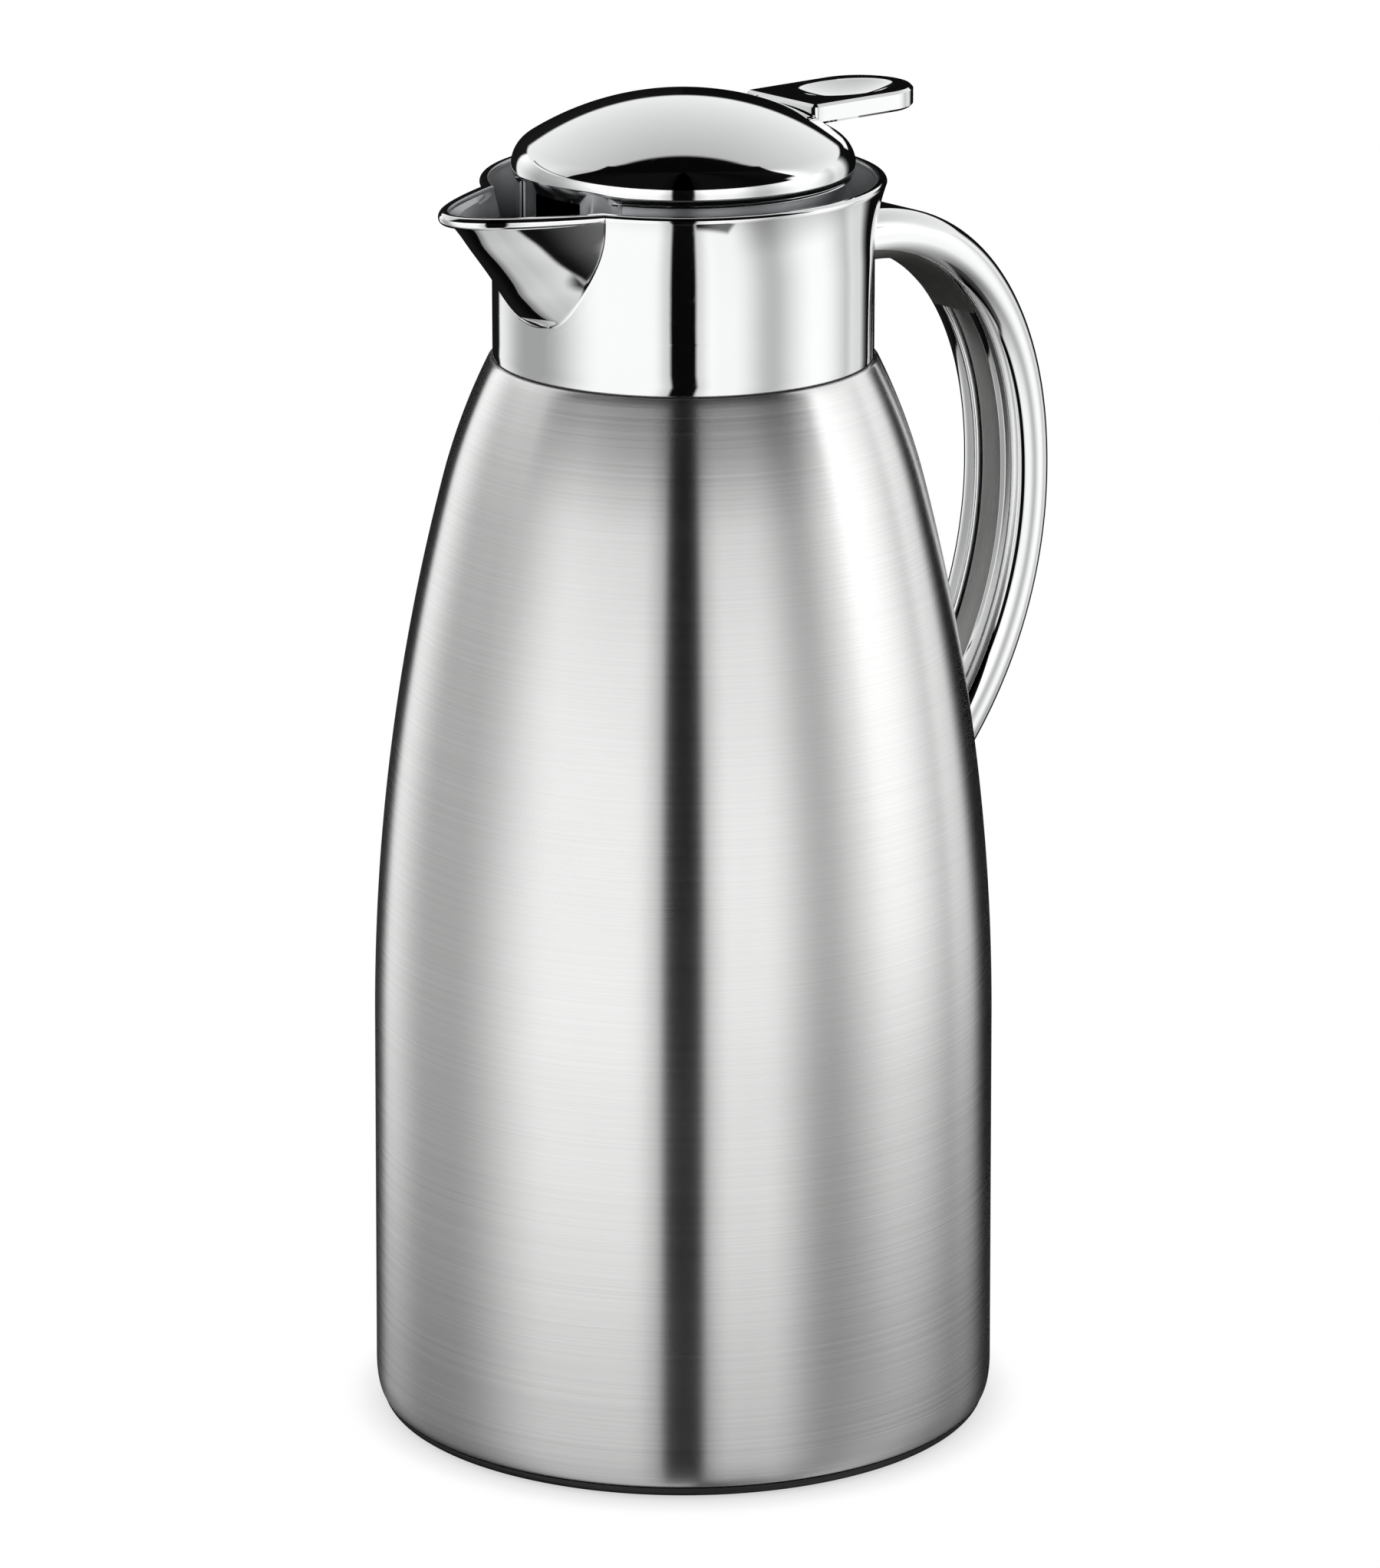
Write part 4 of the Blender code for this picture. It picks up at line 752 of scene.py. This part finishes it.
def collarRings(spec):
    rings = []
    rimZ, rimRound = spec["rimZ"], spec["rimRound"]
    smallest = math.radians(0.8)
    flareTall, flareOut = rimZ - rimRound - spec["flareZ"], spec["rimR"] - spec["wallR"]
    flareR = (flareTall**2 + flareOut**2) / (2 * flareOut)
    bottom, top = spec["levels"][0], spec["levels"][-1]

    def addRing(half, radius, level):
        rings.append([])
        for turn in ringTurns(max(half, smallest), spec):
            z = level(turn)
            r = radius(turn, z)
            rings[-1].append((-r * math.cos(turn), r * math.sin(turn), z))

    def plain(r, z, half=smallest):
        addRing(half, lambda turn, level: r, lambda turn: z)

    def wallAt(z):
        return spec["wallR"] + flareR - math.sqrt(flareR**2 - max(z - spec["flareZ"], 0) ** 2)

    def planAt(z, tip, wall, thinner=0.0):  # a plan that meets the wall where the photograph has the crease
        half = max(alongLine(spec["width"], z) - thinner, 2.0)
        deep = max(tip - math.sqrt(wall**2 - half**2), 0.22 * half)
        return tip, deep, half, alongLine(spec["blunt"], z)

    def creaseTurn(z, wall, thinner=0.0):
        return math.asin(max(alongLine(spec["width"], z) - thinner, 0.3) / wall)

    topHalf = creaseTurn(rimZ - rimRound, spec["rimR"])
    lipPlan = (*planAt(rimZ - rimRound, spec["tipR"], spec["rimR"])[:3], spec["lipBlunt"])

    def bead(turn):  # set in, depth, height and roll of the edge, full at the tip and plain along the rim
        w = max(0.0, 1 - (turn / topHalf) ** 2) ** 0.7
        plainEdge = (rimRound, rimRound, rimRound, 0.0)
        return [a + (b - a) * w for a, b in zip(plainEdge, spec["bead"])]

    plain(spec["neckBore"], spec["bottomZ"])
    plain(spec["wallR"] - spec["footEdge"], spec["bottomZ"])
    plain(spec["wallR"], spec["bottomZ"] + spec["footEdge"])
    for flat in spec["levels"]:  # collar wall and the underside of the beak, up to its lip
        toe = min(max((flat - spec["toeZ"]) / spec["toeTall"], 0), 1)
        k = spec["toeBlend"] + (spec["creaseBlend"] - spec["toeBlend"]) * math.sqrt(toe)

        def level(turn):
            _, _, tall, roll = bead(turn)
            end = rimZ - tall - tall * math.sin(math.radians(roll))
            return bottom + (end - bottom) * (flat - bottom) / (top - bottom)

        def radius(turn, z):
            wall = wallAt(z)
            return softMax(wall, beakRadius(turn, planAt(z, alongLine(spec["keel"], z), wall)), k)

        addRing(creaseTurn(flat, wallAt(flat)), radius, level)
    k, count = spec["creaseBlend"], spec["beadSteps"]

    for i in range(count + 1):  # bead round the lip, which thins into the rim

        def angle(turn):
            roll = bead(turn)[3]
            return math.radians(-roll + (90 + roll) * i / count)

        def radius(turn, z):
            inset, deep, _, _ = bead(turn)
            lip = softMax(spec["rimR"], beakRadius(turn, lipPlan), k)
            return lip - inset + deep * math.cos(angle(turn))

        def level(turn):
            tall = bead(turn)[2]
            return rimZ - tall + tall * math.sin(angle(turn))

        addRing(topHalf, radius, level)
    thinner = spec["beakWall"]
    innerTip = spec["tipR"] - thinner
    innerPlan = (*planAt(rimZ - rimRound, innerTip, spec["rimInnerR"], thinner)[:3], spec["lipBlunt"])
    for i in range(spec["edgeSteps"] + 1):  # over the top and down the inner edge
        a = math.pi / 2 * i / spec["edgeSteps"]

        def radius(turn, z):
            edge = softMax(spec["rimInnerR"], beakRadius(turn, innerPlan), k)
            return edge + rimRound * (1 - math.sin(a)) * 0.7

        addRing(creaseTurn(rimZ, spec["rimInnerR"], thinner), radius, lambda turn: rimZ - rimRound * (1 - math.cos(a)))
    slant = thinner * math.hypot(1, spec["lean"])
    low, count = spec["floorTop"], spec["innerSteps"]
    for i in range(1, count + 1):  # inner wall and the channel
        z = rimZ - rimRound + (low - rimZ + rimRound) * i / count
        share = max(0.0, (z - spec["flareZ"]) / (rimZ - rimRound - spec["flareZ"]))
        base = spec["boreR"] + (spec["rimInnerR"] - spec["boreR"]) * share
        plan = planAt(z, min(alongLine(spec["keel"], z) - slant, innerTip), base, thinner)
        half = creaseTurn(z, base, thinner)
        addRing(half, lambda turn, z: softMax(base, beakRadius(turn, plan), spec["channelBlend"]), lambda turn: z)
    plain(spec["mouthR"], low, half)
    plain(spec["mouthR"], spec["floorZ"], half)
    plain(spec["neckBore"], spec["floorZ"], half)
    rings.append(list(rings[0]))
    return rings


def buildCollar(spec):
    piece = growPiece("collarBeak", collarRings(spec), looped=True)
    # the inner walls are marked for painted shade (a darker colour) and a rougher finish
    inside = piece.data.attributes.new("inside", "FLOAT", "FACE")
    for face, dull in zip(piece.data.polygons, inside.data):
        x, y, z = face.center
        inwards = face.normal.x * x + face.normal.y * y < -0.1 * math.hypot(x, y)
        dull.value = 1.0 if inwards and z > (spec["floorZ"] - 0.5) * mm else 0.0
    dress(piece, "jug", "chrome", "collar", smooth=32)


buildCollar(collarSpec)


# domed lid with a slot for the lever and an arch over the beak
domeSpec = {
    "apexZ": 281.4, "crownR": 60.0, "knuckleR": 6.4, "edgeR": 35.2, "lipR": 34.1, "bottomZ": 264.8,
    "seatZ": 267.3, "seatR": 31.5, "wall": 1.6, "slotLow": (25.4, -11.3, 267.6), "slotHigh": (31.7, 11.3, 284.0),
    "reliefLow": (31.5, -11.3, 271.0), "reliefHigh": (36.5, 11.3, 284.0),  # room for the pressed lever
    "archHalf": 16.0, "archTall": 2.0, "archBelow": 3.0, "archX": (-37.2, -20), "archSteps": 32, "steps": 240,
}


def domeOutline(spec):
    crownZ = spec["apexZ"] - spec["crownR"]
    kneeX = spec["edgeR"] - spec["knuckleR"]
    kneeZ = crownZ + math.sqrt((spec["crownR"] - spec["knuckleR"]) ** 2 - kneeX**2)
    lean = math.degrees(math.atan2(kneeZ - crownZ, kneeX))
    outline = arcPoints((0, crownZ), spec["crownR"], 90, lean, 40)
    outline[0] = (0, spec["apexZ"])
    outline += arcPoints((kneeX, kneeZ), spec["knuckleR"], lean, 0, 22)[1:]
    edge = spec["edgeR"] - spec["lipR"]
    outline += arcPoints((spec["lipR"], kneeZ), edge, 0, -90, 9, kneeZ - spec["bottomZ"])[1:]  # rounded lower edge
    innerR = spec["crownR"] - spec["wall"]
    innerLean = math.degrees(math.acos(spec["seatR"] / innerR))
    outline += [(spec["lipR"], spec["seatZ"]), (spec["seatR"], spec["seatZ"])]
    inside = arcPoints((0, crownZ), innerR, innerLean, 90, 12)
    inside[-1] = (0, spec["apexZ"] - spec["wall"])
    return outline + inside[1:]


def buildDome(spec):
    piece = turnPiece("lidDome", domeOutline(spec), spec["steps"])
    cutAway(piece, addBlock("leverSlot", spec["slotLow"], spec["slotHigh"]))
    cutAway(piece, addBlock("leverRelief", spec["reliefLow"], spec["reliefHigh"]))
    half, low = spec["archHalf"], spec["bottomZ"]
    arch = [(-half, low - spec["archBelow"]), (half, low - spec["archBelow"])]
    for i in range(spec["archSteps"] + 1):
        a = math.pi * i / spec["archSteps"]
        arch.append((half * math.cos(a), low - 0.05 + spec["archTall"] * math.sin(a) ** 0.5))
    rings = [[(x, y, z) for y, z in arch] for x in spec["archX"]]
    cutAway(piece, growPiece("archTool", rings))
    dress(piece, "closure", "chrome", "lid_dome")


buildDome(domeSpec)


# thumb lever: a rounded plate with chamfered edges and a dished oval, on its hub and forked arm
leverSpec = {
    "front": 25.9, "end": 58.9, "half": 11.0, "top": 277.0, "thick": 4.2, "chamfer": 0.55, "cornerR": 1.2,
    "dishX": 43.8, "dishA": 11.5, "dishB": 7.7, "dishDeep": 2.2, "dishEdge": 1.03, "dishSteps": 16,
    "bevels": (0.5, 0.4), "neckLong": 4.5, "neckLow": 271.4,  # of the neck, and of the arm with its prongs
    "neckInset": 0.6, "neckUp": 1.2, "pivot": (26.0, 268.8), "hubR": 2.2, "hubHalf": 8.0, "hubUp": 1.0,
    "armFrom": 6.0, "armHalf": 5.0, "armZ": (266.9, 270.0), "prongs": (-1.5, 7.0, 2.6),  # from, to and half the gap
}


def leverOutline(spec):
    half, front, corner = spec["half"], spec["front"], spec["cornerR"]
    bend, side, near = spec["end"] - half, half - corner, front + corner
    points = arcPoints((bend, 0), half, -90, 90, 48) + between((bend, half), (near, half), 12)
    points += arcPoints((near, side), corner, 90, 180, 6) + between((front, side), (front, -side), 12)
    return points + arcPoints((near, -side), corner, 180, 270, 6) + between((near, -half), (bend, -half), 12)


def insetOutline(points, distance):
    moved = []
    for i, point in enumerate(points):
        before, after = Vector(points[i - 1]), Vector(points[(i + 1) % len(points)])
        ahead = (after - before).normalized()
        moved.append((point[0] - ahead.y * distance, point[1] + ahead.x * distance))
    return moved


def buildLever(spec):
    outline = leverOutline(spec)
    low, high, chamfer = spec["top"] - spec["thick"], spec["top"], spec["chamfer"]
    levels = [(chamfer, low), (0.0, low + chamfer), (0.0, high - chamfer), (chamfer, high), (chamfer + 0.5, high)]
    rings = [[(x, y, z) for x, y in insetOutline(outline, d)] for d, z in levels]

    def oval(share, depth):
        ring = []
        for x, y in outline:
            a = math.atan2(y, x - spec["dishX"])
            far = spec["dishA"] * spec["dishB"] / math.hypot(spec["dishB"] * math.cos(a), spec["dishA"] * math.sin(a))
            ring.append((spec["dishX"] + share * far * math.cos(a), share * far * math.sin(a), high - depth))
        return ring

    rings.append(oval(spec["dishEdge"], 0.0))
    for i in range(spec["dishSteps"] - 1):
        share = 1 - i / spec["dishSteps"]
        rings.append(oval(share, spec["dishDeep"] * (1 - share**2)))
    piece = growPiece("thumbLever", rings)
    px, pz = spec["pivot"]
    neckHalf, neckEnd = spec["half"] - spec["neckInset"], spec["front"] + spec["neckLong"]
    neckTop, (neckBevel, armBevel) = low + spec["neckUp"], spec["bevels"]
    neck = addBlock("leverNeck", (spec["front"], -neckHalf, spec["neckLow"]), (neckEnd, neckHalf, neckTop), neckBevel)
    hubR, hubTop = spec["hubR"], low + spec["hubUp"]
    section = arcPoints((px, pz), hubR, 0, -180, 18) + [(px - hubR, hubTop), (px + hubR, hubTop)]
    hub = growPiece("leverHub", [[(x, y, z) for x, z in section] for y in (-spec["hubHalf"], spec["hubHalf"])])
    armHalf, (armLow, armHigh) = spec["armHalf"], spec["armZ"]
    arm = addBlock("leverArm", (spec["armFrom"], -armHalf, armLow), (px, armHalf, armHigh), armBevel)
    begin, end, inner = spec["prongs"]
    prongs = []
    for i, (left, right) in enumerate(((inner, armHalf), (-armHalf, -inner))):
        prongs.append(addBlock(f"leverProng{i}", (begin, left, armLow), (end, right, armHigh), armBevel))
    joinPieces(piece, neck, hub, arm, *prongs)
    dress(piece, "lever", "chrome", "thumb_lever", smooth=28)


buildLever(leverSpec)


# handle: one bent tube with round sides, open on its inner side, with inlays in the channel
handleSpec = {
    "rootZ": 246.5, "bendX": 45.0, "reach": 90.1, "drop": 57.5, "bow": 2.15, "sweepR": 85.0, "halfWidth": 10.7,
    "thickR": 5.3, "channelHalf": 3.5, "lipRound": 1.0, "roof": 2.8, "stripRecess": 1.2, "stripGap": 0.55,
    "coverRecess": 0.1, "coverThick": 1.4, "coverProud": 0.06,
    "coverSeam": (14.0, 80.0),  # degrees below the widest part, at the collar and at its end
    "coverTop": 46.0, "coverBottom": 17.0, "play": 0.25, "collarR": 39.2, "steps": 110,
    # the screws' outline across the channel, (r, v), their places along, and the tab's half width and span
    "screw": [(1.7, -3.1), (2.1, -2.8), (2.1, -1.9), (1.15, -1.8), (1.15, -0.1), (0.9, 0.1)],
    "screwsTop": (12.0, 30.0), "screwBottom": 9.0, "tab": (2.9, 0.2, 2.3),
}


def bodyRadius(outline, z):
    for (r0, z0), (r1, z1) in zip(outline, outline[1:]):
        if z0 <= z <= z1:
            return r0 + (r1 - r0) * (z - z0) / (z1 - z0)
    return outline[-1][0]


class HandleLine:  # the handle's centreline, measured along from the collar
    def __init__(self, spec, outline):
        wideZ = spec["rootZ"] - spec["drop"]
        points = [Vector((spec["collarR"] - 6, spec["rootZ"])), Vector((spec["collarR"], spec["rootZ"]))]
        for i in range(201):
            a = math.pi / 2 * (1 - i / 200)
            x = spec["bendX"] + (spec["reach"] - spec["bendX"]) * max(math.cos(a), 0) ** (2 / spec["bow"])
            points.append(Vector((x, wideZ + spec["drop"] * max(math.sin(a), 0) ** (2 / spec["bow"]))))
        centre = Vector((spec["reach"] - spec["sweepR"], wideZ))
        turn = 0.0
        while points[-1].x > bodyRadius(outline, points[-1].y) - 12:
            turn += math.pi / 400
            points.append(centre + spec["sweepR"] * Vector((math.cos(turn), -math.sin(turn))))
        self.points, self.marks = points, [-6.0]
        for before, after in zip(points, points[1:]):
            self.marks.append(self.marks[-1] + (after - before).length)
        self.ahead = []  # directions at the points, so that the tube bends evenly
        for i in range(len(points)):
            self.ahead.append((points[min(i + 1, len(points) - 1)] - points[max(i - 1, 0)]).normalized())
        self.outline, self.collarR = outline, spec["collarR"]
        self.length = next(m for p, m in zip(points, self.marks) if m > 20 and p.x <= bodyRadius(outline, p.y))

    def place(self, along, y, v):
        i = 1
        while i < len(self.marks) - 1 and self.marks[i] < along:
            i += 1
        share = (along - self.marks[i - 1]) / (self.marks[i] - self.marks[i - 1])
        ahead = self.ahead[i - 1].lerp(self.ahead[i], share).normalized()
        spot = self.points[i - 1].lerp(self.points[i], share) + Vector((-ahead.y, ahead.x)) * v
        return (spot.x, y, spot.y)

    def start(self, y, play):  # where a lengthwise line comes out of the collar
        return math.sqrt((self.collarR + play) ** 2 - y * y) - self.collarR

    def finish(self, y, v, play):  # where it meets the body
        low, high = self.length - 25, self.length + 10
        for _ in range(30):
            middle = (low + high) / 2
            x, _, z = self.place(middle, y, v)
            if math.hypot(x, y) > bodyRadius(self.outline, z) + play:
                low = middle
            else:
                high = middle
        return low


def sweepPiece(name, line, section, start, end, steps):  # start and end: places along, or functions that give them
    rings = []
    for i in range(steps + 1):
        share = i / steps
        points = section(share) if callable(section) else section
        starts, ends = ([at(y, v) if callable(at) else at for y, v in points] for at in (start, end))
        first, last = max(starts), min(ends)
        ring = []
        for (y, v), a, b in zip(points, starts, ends):
            along = first + (last - first) * share + (a - first) * (1 - share) ** 6 + (b - last) * share**6
            ring.append(line.place(along, y, v))
        rings.append(ring)
    return growPiece(name, rings)


def tubeSection(spec):
    around, gap = spec["thickR"], spec["channelHalf"]
    side = spec["halfWidth"] - around
    near = [(side + y, v) for y, v in arcPoints((0, 0), around, 90, -90, 36)][::-1]  # from the inner edge to the crown
    crown = between((side, around), (-side, around), 6)
    bend = spec["lipRound"]
    edge = arcPoints((-gap - bend, bend - around), bend, -90, 0, 8) + [(-gap, around - spec["roof"])]
    return near + crown + mirrored(near) + edge + mirrored(edge)


def flatSection(half, low, high, edge=0.25):
    return [
        (half, low + edge), (half, high), (-half, high), (-half, low + edge), (-half + edge * 0.3, low + edge * 0.3),
        (-half + edge, low), (half - edge, low), (half - edge * 0.3, low + edge * 0.3),
    ]


def wrapSection(spec, share):  # a shell over the lower part of the tube, narrower along its way
    seam = spec["coverSeam"][0] + (spec["coverSeam"][1] - spec["coverSeam"][0]) * share**0.8
    side = spec["halfWidth"] - spec["thickR"]
    outer, inner = spec["thickR"] + spec["coverProud"], spec["thickR"] - spec["coverThick"]
    ring = []
    for around, order in ((outer, 1), (inner, -1)):
        half = [(side + y, v) for y, v in arcPoints((0, 0), around, -seam, -90, 14)]
        ring += (half + mirrored(half))[::order]
    return ring


def buildHandle(spec):
    line = HandleLine(spec, shellOutline(shellSpec))
    play = spec["play"]
    top, lipV = spec["thickR"], -spec["thickR"]
    inlayHalf = spec["channelHalf"] - play

    def root(y, v):
        return line.start(y, play)

    def foot(y, v):
        return line.finish(y, v, play)

    tube = sweepPiece("handleTube", line, tubeSection(spec), root, foot, spec["steps"])
    dress(tube, "jug", "chrome", "handle_shell", smooth=32)
    coverLow = lipV + spec["coverRecess"]
    cover = flatSection(inlayHalf, coverLow, coverLow + spec["coverThick"])
    upper = sweepPiece("handleTopCover", line, partial(wrapSection, spec), root, spec["coverTop"], 60)
    dress(upper, "jug", "handle_inlay", "handle_cover_top", look=dullInlay)
    lowStart = line.length - spec["coverBottom"]
    lower = sweepPiece("handleFootCover", line, cover, lowStart, foot, 24)
    dress(lower, "jug", "handle_inlay", "handle_cover_bottom")
    stripHalf = spec["channelHalf"] - spec["stripGap"]
    strip = flatSection(stripHalf, lipV + spec["stripRecess"], top - spec["roof"] - play)
    inlay = sweepPiece("handleStrip", line, strip, spec["coverTop"] + play, lowStart - play, 80)
    dress(inlay, "jug", "handle_inlay", "handle_strip")
    tab = sweepPiece("handleBracket", line, flatSection(*spec["tab"]), lowStart + 1, foot, 16)
    dress(tab, "jug", "bright_steel", "handle_bracket")
    places = [*spec["screwsTop"], line.length - spec["screwBottom"]]
    for label, along in zip(("top_1", "top_2", "bottom"), places):  # hidden in the channel, under the covers
        rings = []
        for r, v in spec["screw"]:
            turns = [math.tau * i / 24 for i in range(24)]
            rings.append([line.place(along + r * math.cos(a), r * math.sin(a), v) for a in turns])
        screw = growPiece("handleScrew" + label.title().replace("_", ""), rings)
        dress(screw, "jug", "bright_steel", "handle_screw_" + label)


buildHandle(handleSpec)


# ring of the closure that shows between the dome and the collar, open towards the beak
skirtSpec = {"outerR": 34.4, "innerR": 33.9, "lowZ": 256.0, "highZ": 264.7, "openTurn": 25.4, "edge": 0.3, "steps": 120}


def buildSkirt(spec):
    inner, outer, low, high, edge = (spec[key] for key in ("innerR", "outerR", "lowZ", "highZ", "edge"))
    section = [(inner, low), (outer, low), (outer, high - edge), (outer - edge, high), (inner, high)]
    rings = []
    for i in range(spec["steps"] + 1):
        a = math.radians(180 + spec["openTurn"] + (360 - 2 * spec["openTurn"]) * i / spec["steps"])
        rings.append([(r * math.cos(a), r * math.sin(a), z) for r, z in section])
    piece = growPiece("closureSkirt", rings)
    dress(piece, "closure", "chrome")


buildSkirt(skirtSpec)


# the rest keeps its CAD shape and takes a finish
def finishNodes():
    behaviour = frame["record"]["behaviour"]
    slots = {part["node"]: part["material_slot"] for part in frame["record"]["subparts"]}
    for body, names in behaviour["bodies"].items():
        for name in names:
            node = frame["nodes"][name]
            if node.hide_render:
                continue
            first, *rest = name.split("_")
            piece = bpy.data.objects.new(first + "".join(word.title() for word in rest), node.data.copy())
            bpy.context.scene.collection.objects.link(piece)
            piece.data.transform(node.matrix_world)
            pickOnly(piece)
            bpy.ops.object.mode_set(mode="EDIT")
            closeMesh()
            dress(piece, body, slots[name], name, smooth=38)
            if name == "return_spring":  # the return spring, which shortens as the valve rises, gets a mesh of its own
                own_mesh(piece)


finishNodes()
